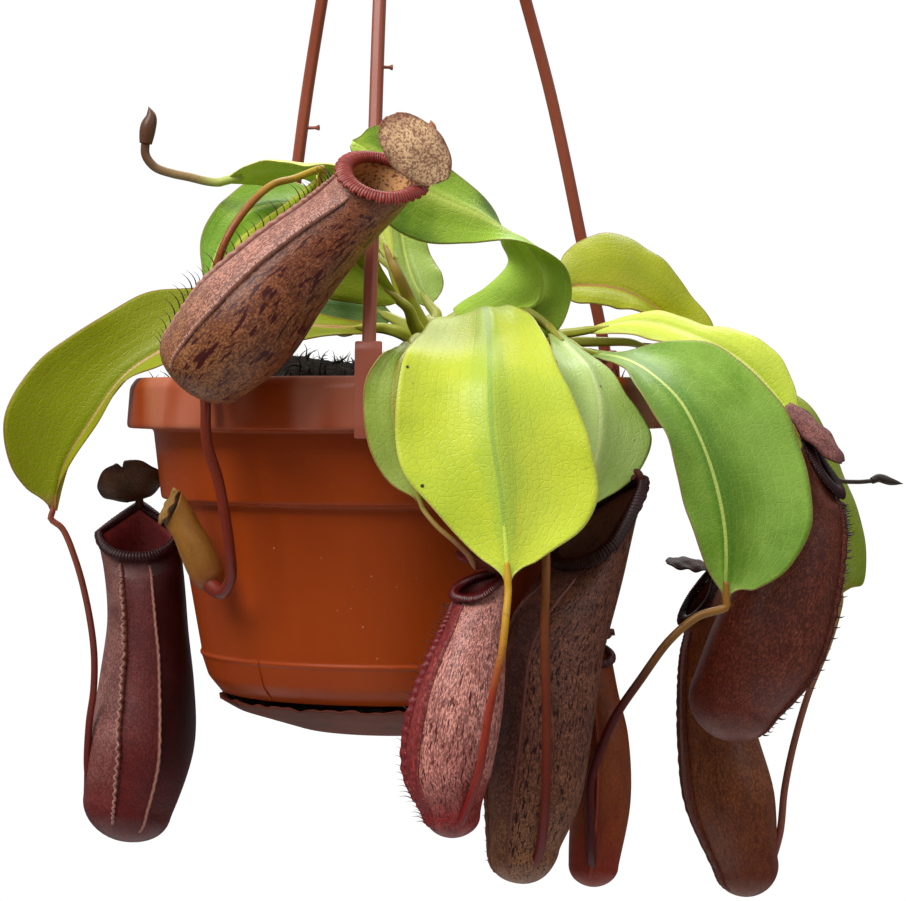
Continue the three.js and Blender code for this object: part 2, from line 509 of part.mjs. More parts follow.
// ---------- pitchers ----------
// axis: [x, y, z, radius] from the closed foot to the centre of the mouth. normal: the way the mouth
// faces. back: towards the neck that carries the lid. span: half widths of the mouth across and along
// the back direction. neck: how far the rim rises towards the lid. wings: their places round the front,
// in radians. leaf: the number of the leaf whose tip the tendril comes from. shut: no mouth yet.
// lid.neck: how far behind the mouth the lid starts, where it stands on a neck of its own.
const PITCHERS = [
  { colour: 0x96645f, rim: 0xa54b41, lidColour: 0xcdaa82, ringSize: 1,
    axis: [[-50.2, -70, -3, 0], [-45.4, -71, 2.6, 11.5], [-36, -72, 11.7, 13.4], [-26.6, -73, 22.4, 11.5],
      [-16.3, -75, 32.3, 9.2], [-8.8, -77, 39.6, 8.1], [-4.2, -79, 44.3, 8.3]],
    normal: [0.25, -0.62, 0.74], back: [0.92, -0.08, -0.38], span: [8.2, 9], neck: 1.5, wings: [-0.1, 1.1],
    lid: { dir: [-0.34, -0.1, 0.94], face: [0.3, -0.95, 0.03], length: 18, width: 14.5, bend: 1.5, neck: 3 },
    leaf: 10, tendril: [[-25, -46, 48], [-30.4, -52, 45.8], [-36, -57, 40], [-40.6, -60, 32.6],
      [-43.2, -60, 25.4], [-45.5, -57.5, 16.5], [-48.6, -57.5, 7], [-48, -66, 0.5]] },
  { colour: 0x693737, rim: 0x230a0f, lidColour: 0x4b3728, ringSize: 1,
    axis: [[-74.6, 12, -122, 0], [-71.8, 13, -113, 11.9], [-68.4, 14, -97.2, 14.2], [-66.7, 15, -80, 12.5],
      [-66.4, 15, -64, 10.6], [-67.7, 15, -48.2, 10.4], [-68.8, 15, -42, 10.6]],
    normal: [0, -0.66, 0.75], back: [0, 0.75, 0.66], span: [10.6, 8.5], neck: 3, wings: [-0.45, 0.3],
    lid: { dir: [-0.3, -0.66, 0.72], face: [-0.1, 0.66, 0.74], length: 14, width: 17.5, bend: -2 },
    leaf: 1, tendril: [[-85.8, -11, -38.5], [-82.7, -9, -46.5], [-80.3, -5, -57.6], [-79, 0, -70.7],
      [-79.4, 3, -81], [-81, 6, -91], [-81.6, 9, -104.6], [-79.4, 11, -114.3], [-74.6, 12, -118.3]] },
  { colour: 0xa57d3c, lidColour: 0x8c6e32, shut: true,
    axis: [[-44.9, -40, -52.4, 0], [-46.9, -40, -48.2, 4.2], [-49.6, -40, -42, 4.2],
      [-52.5, -40, -36.5, 3.5],
      [-55, -40, -32.3, 3.3]],
    normal: [-0.85, -0.3, 0.45], back: [0.45, 0, 0.85], span: [3.2, 4.6], neck: 0.4, wings: [],
    lid: { dir: [-0.46, 0, -0.88], face: [-0.85, -0.3, 0.45], length: 9, width: 6.6, bend: 0.5 },
    leaf: 9, tendril: [[-48, -34, 11.6], [-47, -54, 1.4], [-45.9, -57.5, -6.8], [-45.6, -58, -15.6],
      [-43, -56, -25], [-41.5, -55, -33.4], [-40.4, -53, -42.4], [-40.4, -50, -48.8], [-42.8, -46, -52.5],
      [-46.4, -41, -50.6]] },
  { colour: 0x965050, rim: 0x5f1418, lidColour: 0x6e2d28, ringSize: 0.75,
    axis: [[12.6, -75, -107.9, 0], [12.6, -75, -102.4, 6.5], [12, -75, -92, 10], [14.4, -75, -76.8, 10.1],
      [17.5, -74, -63, 7.9], [19, -73, -54, 6.6], [19.2, -72, -50.5, 6.5]],
    normal: [-0.25, -0.35, 0.9], back: [0.9, 0, 0.3], span: [5.6, 6.4], neck: 1.6, wings: [-0.2, 0.7],
    lid: { dir: [-0.9, -0.2, 0.28], face: [0.25, -0.3, 0.92], length: 11, width: 10, bend: 1 },
    leaf: 2, tendril: [[24.6, -88, -55.3], [23.7, -89, -63], [22, -89.5, -70.4], [20.2, -88.5, -80.2],
      [18.7, -86.5, -90], [16.5, -83, -98.4], [13.9, -77, -103.6]] },
  { colour: 0x785a50, rim: 0x23080a, lidColour: 0x4b2823, ringSize: 1.15,
    axis: [[30.6, -58, -121.6, 0], [30, -58, -113.3, 8.6], [32.5, -58, -99, 11.6], [35.3, -58, -80, 11.9],
      [37.8, -57, -64.4, 11.7], [43.2, -55, -49, 11.3], [47.4, -53, -39, 10.8]],
    normal: [-0.4, -0.5, 0.77], back: [0.75, 0.2, 0.62], span: [9.5, 11.5], neck: 4, wings: [-0.1, 0.75],
    lid: { dir: [-0.85, 0, 0.5], face: [0.3, -0.9, 0.3], length: 12, width: 9, bend: 1 },
    leaf: 3, tendril: [[34.6, -72, -42], [34.5, -73.5, -48], [34.2, -73.5, -59], [34.7, -73, -78.8],
      [35, -71.5, -98.5], [35, -66, -111.6], [32.5, -60, -117]] },
  { colour: 0x82462d, rim: 0x5a1e1e, lidColour: 0x6e3c28, ringSize: 0.6,
    axis: [[48, -38, -126, 0], [48.3, -38, -120.2, 6.2], [50, -38, -104.8, 7.3], [50.2, -38, -88.7, 6.6],
      [49, -38, -77, 5.4], [48, -38, -70, 5.2]],
    normal: [0.1, -0.25, 0.95], back: [0.2, 0.95, 0.2], span: [4.8, 5.4], neck: 1.5, wings: [0],
    lid: { dir: [0, -0.92, 0.38], face: [0, 0.38, 0.92], length: 9, width: 8, bend: 0.5 },
    leaf: 4, tendril: [[73, -48, -58.4], [66.2, -48, -64], [59, -48, -73.7], [52.7, -48, -83],
      [48.7, -47.5, -92.4], [46.8, -47, -99.2], [46.8, -46.5, -107], [48, -43.5, -117.3],
      [48.5, -39, -121.5]] },
  { colour: 0x5a322d, rim: 0x280c10, lidColour: 0x5f3c37, ringSize: 1,
    axis: [[80.8, -16, -91.7, 0], [85.7, -16, -82, 11.5], [93.4, -17, -68, 14.2], [100.5, -18, -50, 12],
      [104.3, -19, -37.4, 9.4], [105.6, -20, -28.5, 8.2], [105.8, -20, -24, 7.6]],
    normal: [0.7, -0.25, 0.65], back: [-0.6, 0, 0.7], span: [7.2, 8], neck: 3, wings: [-0.35, 0.35],
    lid: { dir: [0.68, -0.12, -0.72], face: [0.6, -0.5, 0.62], length: 20, width: 13, bend: 1,
      neck: 10 },
    leaf: 6, tendril: [[107.6, -3, -26], [109, 0, -40], [108.4, 0.5, -56], [104, 1.5, -72],
      [95, 1, -86], [87, -7, -90.5], [84, -13, -86]] },
  { colour: 0x6e4137, rim: 0x280c10, lidColour: 0x3c2a22, ringSize: 0.85,
    axis: [[94.9, 14, -137.7, 0], [92.8, 14, -129.8, 8.5], [88.6, 14, -111.8, 11.7], [85.2, 14, -94.5, 10.2],
      [83.6, 14, -80, 8.8], [82.4, 14, -66.7, 8], [81.6, 14, -59, 7.8]],
    normal: [-0.7, -0.2, 0.6], back: [0.55, 0.1, 0.83], span: [6.8, 8], neck: 2, wings: [-0.35, 0.35],
    lid: { dir: [-1, -0.1, 0.12], face: [0.12, -0.3, 0.95], length: 11.5, width: 9, bend: 1 },
    leaf: 14, tendril: [[116, 20, -69.8], [109.6, 16, -84], [105.4, 14, -97.2], [103, 14, -109],
      [101.4, 14, -122.4], [97.5, 14, -132], [94, 14, -133]] },
];

const CUP_SIDES = 12;
const CUP_FOOT = [0.06, 0.32, 0.7]; // stations on the rounded foot
const CUP_STEPS = 6; // stations from there to the mouth
const RING_SIDES = 16; // sections round the mouth
const RING_SECTION = [[-1.4, 0], [-1.2, 1.3], [0.4, 1.9], [2.3, 0.6], [1.6, -0.2]];
const RING_LIFT = GAP + 0.25; // of the hard rim above the edge of the cup
const WING_STEPS = 7;
const WING_HEIGHT = 2.2;
const WING_ROOT = 0.8; // how far a wing is rooted inside the wall
const LID_ROWS = 6;
const LID_FOOT = 0.9; // half width of a lid where it joins the neck

// Frame of the mouth: unit vectors normal, back and side, square to each other.
function mouthFrame(p) {
  const normal = v3(p.normal).normalize();
  const back = v3(p.back);
  back.addScaledVector(normal, -back.dot(normal)).normalize();
  const side = normal.clone().cross(back);
  return { normal, back, side, centre: v3(p.axis.at(-1)) };
}

// Ring of the pitcher wall at station s, counted in axis points from the foot; inset thins it inwards.
function cupRing(p, path, s, inset) {
  const last = p.axis.length - 1;
  const mouth = mouthFrame(p);
  const u = Math.min(1, s / last);
  const k = Math.min(last - 1, Math.floor(s));
  const r0 = p.axis[k][3];
  const r1 = p.axis[k + 1][3];
  const f = s - k;
  const radius = (k === 0 ? r1 * Math.sqrt(1 - (1 - f) ** 2) : lerp(r0, r1, f * f * (3 - 2 * f))) - inset;
  const turn = smooth(0.6, 1, u);
  const normal = path.getTangent(u).lerp(mouth.normal, turn).normalize();
  const back = mouth.back.clone();
  back.addScaledVector(normal, -back.dot(normal)).normalize();
  const side = normal.clone().cross(back);
  const across = lerp(radius, p.span[0] - inset, turn);
  const along = lerp(radius, p.span[1] - inset, turn);
  const centre = path.getPoint(u);
  const ring = [];
  for (let j = 0; j < CUP_SIDES; j++) {
    const a = (2 * Math.PI * j) / CUP_SIDES;
    const rise = p.neck * turn * turn * ((1 + Math.cos(a)) / 2) ** 2;
    ring.push(centre.clone()
      .addScaledVector(back, along * Math.cos(a))
      .addScaledVector(side, across * Math.sin(a))
      .addScaledVector(mouth.normal, rise));
  }
  return ring;
}

// A wing runs up the front of the pitcher as a low fin, rooted inside the wall.
function wing(p, path, angle) {
  const last = p.axis.length - 1;
  const rows = [];
  const turn = ((Math.PI + angle) / (2 * Math.PI)) * CUP_SIDES;
  for (let i = 0; i <= WING_STEPS; i++) {
    const s = lerp(1.1, last - 0.35, i / WING_STEPS);
    const ring = cupRing(p, path, s, 0);
    const j = Math.floor(turn);
    const foot = ring[j % CUP_SIDES].clone().lerp(ring[(j + 1) % CUP_SIDES], turn - j);
    const out = foot.clone().sub(path.getPoint(s / last)).normalize();
    const height = WING_HEIGHT * Math.sin(Math.PI * Math.min(1, 0.12 + i / 8)) ** 0.5;
    rows.push([-WING_ROOT, height].map((d) => foot.clone().addScaledVector(out, d)));
  }
  return sheet(rows, BLADE_T);
}

function makePitcher(p, i) {
  const path = curve(p.axis);
  const last = p.axis.length - 1;
  const stations = [...CUP_FOOT];
  for (let k = 0; k <= CUP_STEPS; k++) stations.push(lerp(1.15, last, k / CUP_STEPS));
  const outer = stations.map((s) => cupRing(p, path, s, 0));
  const inner = p.shut ? [] : [last, last - 1, last - 2.5].map((s) => cupRing(p, path, s, WALL));
  const parts = [skin([...outer, ...inner])];
  p.wings.forEach((angle) => parts.push(wing(p, path, angle)));
  parts.push(tube([...beyondTip(p.leaf), ...p.tendril], 1.1, 1.3, 11, 5));
  addMesh(`pitcher_${i + 1}`, joined(parts), p.colour, 0.55);
}

// Point on the mouth's edge at an angle from the back, out by e from mid-wall and up by h.
function rimPoint(p, mouth, a, e, h) {
  const rise = p.neck * ((1 + Math.cos(a)) / 2) ** 2;
  const mid = WALL / 2;
  return mouth.centre.clone()
    .addScaledVector(mouth.back, (p.span[1] - mid + e) * Math.cos(a))
    .addScaledVector(mouth.side, (p.span[0] - mid + e) * Math.sin(a))
    .addScaledVector(mouth.normal, rise + h);
}

function makePeristome(p, i) {
  const mouth = mouthFrame(p);
  const k = p.ringSize;
  const sections = [];
  for (let j = 0; j < RING_SIDES; j++) {
    const a = (2 * Math.PI * j) / RING_SIDES;
    sections.push(RING_SECTION.map(([e, h]) => rimPoint(p, mouth, a, e * k, h * k + RING_LIFT)));
  }
  addMesh(`peristome_${i + 1}`, hoop(sections), p.rim, 0.35);
}

function makeLid(p, i) {
  const mouth = mouthFrame(p);
  const lift = p.shut ? 1 : 1.9 * p.ringSize + 2 * GAP + 0.8;
  const base = rimPoint(p, mouth, 0, 0, lift);
  const dir = v3(p.lid.dir).normalize();
  const face = v3(p.lid.face);
  face.addScaledVector(dir, -face.dot(dir)).normalize();
  const side = face.clone().cross(dir);
  const rows = [];
  if (p.lid.neck) {
    rows.push([-2, -1, 0, 1, 2].map((j) => base.clone().addScaledVector(side, (LID_FOOT * j) / 2)));
    base.addScaledVector(mouth.back, p.lid.neck);
  }
  for (let k = 0; k <= LID_ROWS; k++) {
    const u = k / LID_ROWS;
    const swell = Math.sin(Math.PI * Math.min(1, 0.04 + 0.9 * u)) ** 0.6;
    const half = LID_FOOT + (p.lid.width / 2 - LID_FOOT) * swell;
    const row = [];
    for (let j = -2; j <= 2; j++) {
      const rise = p.lid.bend * Math.sin(Math.PI * u) * (1 - (j / 2) ** 2);
      row.push(base.clone()
        .addScaledVector(dir, p.lid.length * u)
        .addScaledVector(side, (half * j) / 2)
        .addScaledVector(face, rise));
    }
    rows.push(row);
  }
  addMesh(`lid_${i + 1}`, sheet(rows, BLADE_T), p.lidColour, 0.5);
}

// ---------- tendrils that carry no open pitcher ----------
const BUDS = {
  bud_upper_left: { colour: 0x968250, thin: 1.15, fat: 2.1,
    leaf: 8, path: [[-49.6, 3, 51.2], [-54.3, 3, 52.3], [-59, 3, 53.3], [-63.2, 3, 54.9], [-65.6, 3, 58],
      [-65.6, 3, 62]],
    head: [[-65.6, 3, 61], [-65, 3, 65], [-64.2, 3, 68], [-64.8, 3, 70.6]] },
  bud_right: { colour: 0x2d2823, thin: 0.6, fat: 1.2,
    leaf: 5, path: [[94, 12, -6], [106, 10, -20], [115.9, 8, -26.7], [121, 8, -27.3], [125.4, 8, -27]],
    head: [[125, 8, -27], [127, 8.6, -26.3], [130, 8, -27.2], [133.3, 8, -27.8]] },
  bud_top: { colour: 0xa5693c, thin: 0.9, fat: 1.7,
    leaf: 11, path: [[3.6, 18, 57], [6.8, 14, 60.6], [8.2, 12, 63]],
    head: [[8, 12, 62.4], [8.5, 12, 64.5], [8.9, 12, 66.5], [8.7, 12, 68.2]] },
  tendril_front: { colour: 0xaa8c46, thin: 0.6, fat: 0.7,
    leaf: 13, path: [[9, -79, -35], [13, -80.3, -38.5], [16.2, -80.8, -41.6]],
    head: [[16, -80.8, -41.4], [17, -80.8, -43], [17.8, -80.8, -45]] },
};

function makeBuds() {
  for (const [name, bud] of Object.entries(BUDS)) {
    const stalk = tube([...beyondTip(bud.leaf), ...bud.path], bud.thin, bud.thin, 7, 5);
    const head = tube(bud.head, bud.fat, 0.35, 3, 5);
    addMesh(name, joined([stalk, head]), bud.colour, 0.6);
  }
}

makePot();
makeSaucer();
makeSoil();
makeHanger();
makeStem();
makeLeaves();
PITCHERS.forEach((p, i) => {
  makePitcher(p, i);
  if (!p.shut) makePeristome(p, i);
  makeLid(p, i);
});
makeBuds();

export default plant;
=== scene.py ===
import math

import bpy
import numpy as np
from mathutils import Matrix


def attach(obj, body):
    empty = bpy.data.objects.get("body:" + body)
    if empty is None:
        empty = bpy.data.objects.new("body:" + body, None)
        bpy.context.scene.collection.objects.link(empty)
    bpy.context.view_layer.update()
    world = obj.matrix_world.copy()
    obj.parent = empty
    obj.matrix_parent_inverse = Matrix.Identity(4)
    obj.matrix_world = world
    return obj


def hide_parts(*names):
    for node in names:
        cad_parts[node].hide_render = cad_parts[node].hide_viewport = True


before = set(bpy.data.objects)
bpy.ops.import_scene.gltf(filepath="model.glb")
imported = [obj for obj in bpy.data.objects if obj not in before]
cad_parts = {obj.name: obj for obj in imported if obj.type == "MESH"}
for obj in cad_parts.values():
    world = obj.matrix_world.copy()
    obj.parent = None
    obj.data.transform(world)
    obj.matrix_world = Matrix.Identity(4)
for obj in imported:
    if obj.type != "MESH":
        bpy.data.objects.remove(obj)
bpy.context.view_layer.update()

# ---------------------------------------------------------------- stage
# The pot hangs free, so the camera looks level at the rim of the pot. A pale floor lies well below it,
# a wide lamp stands high on the left, a weaker one on the right, and a pale sky fills the shadows.
MM = 0.001
HANG_DROP = 238.0  # millimetres from the rim's top plane up to the seat of the hook
EYE = (0.0, -710.0, -7.0)  # the camera, in millimetres from the centre of the rim's top plane
EYE_TURN = (0.955, 1.154)  # degrees down and to the right
LENS = 108.5
FLOOR_Z = -1.15
FLOOR_R = 1.1
FLOOR_SIDES = 96
SKY_SEEN = 1.03  # how bright the sky looks behind the plant
SKY_LOW, SKY_OVERHEAD = 0.12, 0.72  # the light that it gives from below, and what is added overhead
LAMP_AIM = (0.0, 0.0, -0.26)  # the middle of the plant
LAMPS = (  # name, place, size, power, tint
    ("lamp_left", (-0.9, -0.95, 1.15), 1.1, 34.0, (1.0, 0.985, 0.96)),
    ("lamp_right", (1.5, -1.3, 0.5), 1.2, 4.0, (0.97, 0.98, 1.0)),
    ("lamp_back", (0.3, 1.1, 1.2), 1.2, 14.0, (1.0, 1.0, 1.0)),
)


def placed(points):
    """Millimetres about the rim's centre to metres in the row frame."""
    return (np.asarray(points, float) - (0.0, 0.0, HANG_DROP)) * MM


def even_turns(sides):
    """Angles spaced evenly round a circle."""
    return 2 * np.pi * np.arange(sides) / sides


def link(name, data):
    """Puts a new object into the scene."""
    thing = bpy.data.objects.new(name, data)
    bpy.context.scene.collection.objects.link(thing)
    return thing


camera = link("camera", bpy.data.cameras.new("camera"))
camera.location = placed(EYE)
camera.rotation_euler = (math.radians(90 - EYE_TURN[0]), 0, math.radians(-EYE_TURN[1]))
camera.data.lens = LENS
camera.data.sensor_width = 36
camera.data.clip_start = 0.01
bpy.context.scene.camera = camera

for name, place, size, power, tint in LAMPS:
    lamp = link(name, bpy.data.lights.new(name, "AREA"))
    lamp.data.size = size
    lamp.data.energy = power
    lamp.data.color = tint
    lamp.location = place
    aim = np.array(LAMP_AIM) - np.array(place)
    lamp.rotation_euler = (
        math.atan2(math.hypot(aim[0], aim[1]), -aim[2]), 0, math.atan2(aim[1], aim[0]) - math.pi / 2)


class Nodes:
    """Adds nodes to a tree. Each input is given a plain value or the output that feeds it."""

    def __init__(self, tree):
        self.tree = tree

    def add(self, kind, feed=None, **settings):
        """One node, with the inputs it is fed and its settings."""
        node = self.tree.nodes.new(kind)
        for key, value in settings.items():
            setattr(node, key, value)
        for key, value in (feed or {}).items():
            if isinstance(value, bpy.types.NodeSocket):
                self.tree.links.new(value, node.inputs[key])
            else:
                node.inputs[key].default_value = value
        return node

    def calc(self, operation, a, b=0.0, c=0.0):
        """The result of one sum."""
        return self.add("ShaderNodeMath", {0: a, 1: b, 2: c}, operation=operation).outputs[0]

    def times(self, a, b):
        """One value or output times another."""
        return self.calc("MULTIPLY", a, b)

    def step(self, value, low, high):
        """0 below low, 1 above high and smooth between; high below low turns it round."""
        feed = {"Value": value, "From Min": min(low, high), "From Max": max(low, high)}
        if high < low:
            feed.update({"To Min": 1.0, "To Max": 0.0})
        return self.add("ShaderNodeMapRange", feed, interpolation_type="SMOOTHSTEP").outputs[0]


def srgb(r, g, b):
    """A colour given by its screen values, 0 to 255, as linear RGBA."""
    def linear(c):
        return c / 12.92 if c <= 0.04045 else ((c + 0.055) / 1.055) ** 2.4
    return (*(linear(c / 255) for c in (r, g, b)), 1.0)


class Finish(Nodes):
    """A procedural material: the principled shader and the patterns that feed it. A colour is given as
    three screen values, or as the output that makes it."""

    def __init__(self, name, specular=0.5, coat=0.0, coat_roughness=0.2):
        self.material = bpy.data.materials.new(name)
        self.material.use_nodes = True
        super().__init__(self.material.node_tree)
        self.shader = self.tree.nodes["Principled BSDF"]
        self.shader.inputs["Specular IOR Level"].default_value = specular
        self.shader.inputs["Coat Weight"].default_value = coat
        self.shader.inputs["Coat Roughness"].default_value = coat_roughness
        self.object_space = self.add("ShaderNodeTexCoord").outputs["Object"]

    def noise(self, scale, vector=None, detail=3.0, roughness=0.55, stretch=None):
        """A cloudy pattern, in object space unless another place is given."""
        vector = vector or self.object_space
        if stretch:
            feed = {0: vector, 1: stretch}
            vector = self.add("ShaderNodeVectorMath", feed, operation="MULTIPLY").outputs[0]
        feed = {"Vector": vector, "Scale": scale, "Detail": detail, "Roughness": roughness}
        return self.add("ShaderNodeTexNoise", feed).outputs["Fac"]

    def cells(self, scale, feature="F1"):
        """Distances in a pattern of cells: from their middles, or from the edges between them."""
        feed = {"Vector": self.object_space, "Scale": scale}
        return self.add("ShaderNodeTexVoronoi", feed, feature=feature).outputs["Distance"]

    def mix(self, share, a, b):
        """The colour a where the share is 0, and b where it is 1."""
        a, b = (srgb(*colour) if isinstance(colour, tuple) else colour for colour in (a, b))
        return self.add("ShaderNodeMix", {"Factor": share, 6: a, 7: b}, data_type="RGBA").outputs[2]

    def tint(self, colour, shade, mask, share):
        """Lays a share of a shade over a colour wherever the mask says so."""
        return self.mix(self.times(mask, share), colour, shade)

    def attribute(self, name, output="Fac"):
        """A value kept with the points of the mesh."""
        return self.add("ShaderNodeAttribute", attribute_name=name).outputs[output]

    def done(self, colour, roughness, height=None, depth=0.0002, strength=0.6):
        """Feeds the shader, with a relief as deep as said in metres, and gives the material."""
        for socket, value in (("Base Color", colour), ("Roughness", roughness)):
            if isinstance(value, bpy.types.NodeSocket):
                self.tree.links.new(value, self.shader.inputs[socket])
            else:
                self.shader.inputs[socket].default_value = value
        if height is not None:
            feed = {"Height": height, "Distance": depth, "Strength": strength}
            bump = self.add("ShaderNodeBump", feed)
            self.tree.links.new(bump.outputs["Normal"], self.shader.inputs["Normal"])
        return self.material


def floor_finish():
    """Matt off-white paper, very slightly uneven in tone."""
    finish = Finish("studio_floor", specular=0.2)
    tone = finish.noise(3.0)
    return finish.done(finish.mix(tone, (204, 204, 202), (212, 212, 211)), 0.8)


floor_mesh = bpy.data.meshes.new("floor")
floor_points = [(FLOOR_R * math.cos(t), FLOOR_R * math.sin(t), FLOOR_Z) for t in even_turns(FLOOR_SIDES)]
floor_mesh.from_pydata(floor_points, [], [tuple(range(FLOOR_SIDES))])
floor_mesh.materials.append(floor_finish())
link("floor", floor_mesh)

world = bpy.data.worlds.new("sky")
world.use_nodes = True
sky = Nodes(world.node_tree)
plain = world.node_tree.nodes["Background"]
plain.inputs["Color"].default_value = (1.0, 1.0, 1.0, 1.0)
seen = sky.add("ShaderNodeLightPath").outputs["Is Camera Ray"]
aim = sky.add("ShaderNodeSeparateXYZ", {0: sky.add("ShaderNodeTexCoord").outputs["Generated"]}).outputs["Z"]
overhead = sky.calc("MULTIPLY_ADD", sky.step(aim, -0.15, 0.9), SKY_OVERHEAD, SKY_LOW)
strength = sky.calc("MAXIMUM", overhead, sky.times(seen, SKY_SEEN))
world.node_tree.links.new(strength, plain.inputs["Strength"])
bpy.context.scene.world = world
bpy.context.scene.view_settings.view_transform = "Standard"

# ---------------------------------------------------------------- pot
# One moulding of terracotta-coloured plastic: a turned-down collar round the rim, a stepped band, a fine
# bead above the rounded bottom, drain holes, and a hole in the middle of the floor for the saucer's stud.
RIM_R = 70.0
FOOT_Z = -80.4
POT_FLOOR = 2.0
POT_OUTSIDE = (
    (46, FOOT_Z), (49.2, -76.5), (50.9, -71.2), (51.3, -70.9), (51.3, -70.3), (50.9, -70), (54.1, -51.6),
    (58, -32.2), (58.5, -31.2), (61.2, -31), (63.2, -13.2), (69.6, -12.9), (RIM_R, -12), (69.2, -2.4),
    (67.6, -0.2), (66.4, 0),
)
POT_INSIDE = (
    (64.8, -1.6), (61.4, -13), (59.6, -30), (56.4, -32.6), (49.2, -69), (47.6, -75.6),
    (44.6, FOOT_Z + POT_FLOOR),
)
POT_SIDES = 160
STUD_HOLE_R = 4.3
DRAIN_HOLE_R = 3.5
DRAIN_RING_R = 28.0
SEAM_TURN = math.radians(227.5)  # where the halves of the mould met
SEAM = ((51.3, -70.2), (50.6, -72.4), (49.3, -76.4), (46.4, -80.1))
SHEEN_FROM, SHEEN_FULL = -0.252, -0.2502  # the heights, in metres, between which the collar's painted sheen comes in


def eased(points, radius, steps=3):
    """The same outline with each corner rounded, and both ends left where they are."""
    points = [np.array(p, float) for p in points]
    result = [points[0]]
    for before, corner, after in zip(points, points[1:], points[2:]):
        reach = [min(radius, np.linalg.norm(p - corner) * 0.45) for p in (before, after)]
        start, end = (
            corner + (p - corner) / np.linalg.norm(p - corner) * r for p, r in zip((before, after), reach))
        for i in range(steps + 1):
            u = i / steps
            result.append(start * (1 - u) ** 2 + corner * 2 * u * (1 - u) + end * u ** 2)
    return result + [points[-1]]


def ring_faces(count, sides, start=0):
    """Quads between rings of points, each ring closed on itself."""
    faces = []
    for i in range(count - 1):
        for j in range(sides):
            a = start + i * sides + j
            b = start + i * sides + (j + 1) % sides
            faces.append((a, b, b + sides, a + sides))
    return faces


def closed_faces(count, sides, start=0):
    """Faces between rings of points, with the first and the last ring filled in."""
    last = start + (count - 1) * sides
    ends = [tuple(reversed(range(start, start + sides))), tuple(range(last, last + sides))]
    return ring_faces(count, sides, start) + ends


def spun(profile, sides):
    """Points and faces of a solid of revolution; the profile starts and ends beside the axis."""
    turn = even_turns(sides)
    points = [(r * c, r * s, z) for r, z in profile for c, s in zip(np.cos(turn), np.sin(turn))]
    return points, closed_faces(len(profile), sides)


def solid(name, points, faces, material, smooth=True, **attributes):
    """A mesh piece from points in millimetres, with a value at each point for each attribute."""
    mesh = bpy.data.meshes.new(name)
    mesh.from_pydata(placed(points).tolist(), [], faces)
    for key, values in attributes.items():
        values = np.asarray(values, np.float32)
        kind = "FLOAT" if values.ndim == 1 else "FLOAT_VECTOR"
        store = mesh.attributes.new(key, kind, "POINT")
        store.data.foreach_set("value" if kind == "FLOAT" else "vector", values.ravel())
    mesh.polygons.foreach_set("use_smooth", [smooth] * len(mesh.polygons))
    mesh.materials.append(material)
    mesh.validate()
    return link(name, mesh)


def cut(target, radius, x, y, low, high, sides=32):
    """Cuts a round hole straight down through a piece."""
    turn = even_turns(sides)
    points = [(x + radius * math.cos(t), y + radius * math.sin(t), z) for z in (low, high) for t in turn]
    drill = solid("drill", points, closed_faces(2, sides), target.data.materials[0])
    modifier = target.modifiers.new("hole", "BOOLEAN")
    modifier.operation = "DIFFERENCE"
    modifier.object = drill
    graph = bpy.context.evaluated_depsgraph_get()
    mesh = bpy.data.meshes.new_from_object(target.evaluated_get(graph))
    target.modifiers.clear()
    target.data = mesh
    bpy.data.objects.remove(drill)


def keep(piece, slot, *nodes):
    """Attaches a finished piece to the plant's only body, and hides the nodes that it stands for."""
    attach(piece, "root")
    if nodes:
        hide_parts(*nodes)
    return piece


def moulded(name, ground, lit, dull, roughness=0.36, dirt=0.0):
    """Moulded plastic: flow marks down the wall, a slightly uneven gloss, dust and small scuffs, and on the
    collar pale patches of painted sheen.
    """
    finish = Finish(name, specular=0.16, coat=0.04, coat_roughness=0.3)
    flow = finish.noise(26.0, detail=4.0, stretch=(1.0, 1.0, 0.16))
    lines = finish.noise(90.0, detail=2.0, stretch=(0.15, 0.15, 6.0))
    broad = finish.noise(9.0, detail=2.0)
    colour = finish.mix(finish.step(flow, 0.3, 0.72), ground, lit)
    colour = finish.mix(finish.step(broad, 0.35, 0.7), colour, dull)
    colour = finish.tint(colour, lit, lines, 0.14)
    dust = finish.step(finish.cells(260.0), 0.085, 0.04)
    rare = finish.step(finish.noise(30.0), 0.56, 0.68)
    colour = finish.tint(colour, (222, 170, 140), finish.times(dust, rare), 0.5)
    up = finish.add("ShaderNodeSeparateXYZ", {0: finish.object_space}).outputs["Z"]
    # painted sheen: pale patches on the collar that stand in for a reflection of the sky
    painted_sheen = finish.step(finish.noise(48.0, detail=2.0, stretch=(1.0, 1.0, 0.16)), 0.42, 0.6)
    painted_sheen = finish.times(painted_sheen, finish.step(up, SHEEN_FROM, SHEEN_FULL))
    colour = finish.tint(colour, (206, 140, 116), painted_sheen, 0.4)
    if dirt:
        soiled = finish.step(finish.noise(55.0, detail=5.0), 0.48, 0.62)
        colour = finish.tint(colour, (42, 26, 20), soiled, dirt)
    gloss = finish.calc("MULTIPLY_ADD", finish.noise(120.0), 0.16, roughness - 0.08)
    grain = finish.noise(700.0, detail=2.0)
    return finish.done(colour, gloss, finish.calc("ADD", grain, finish.times(lines, 0.6)),
                       depth=0.00006)


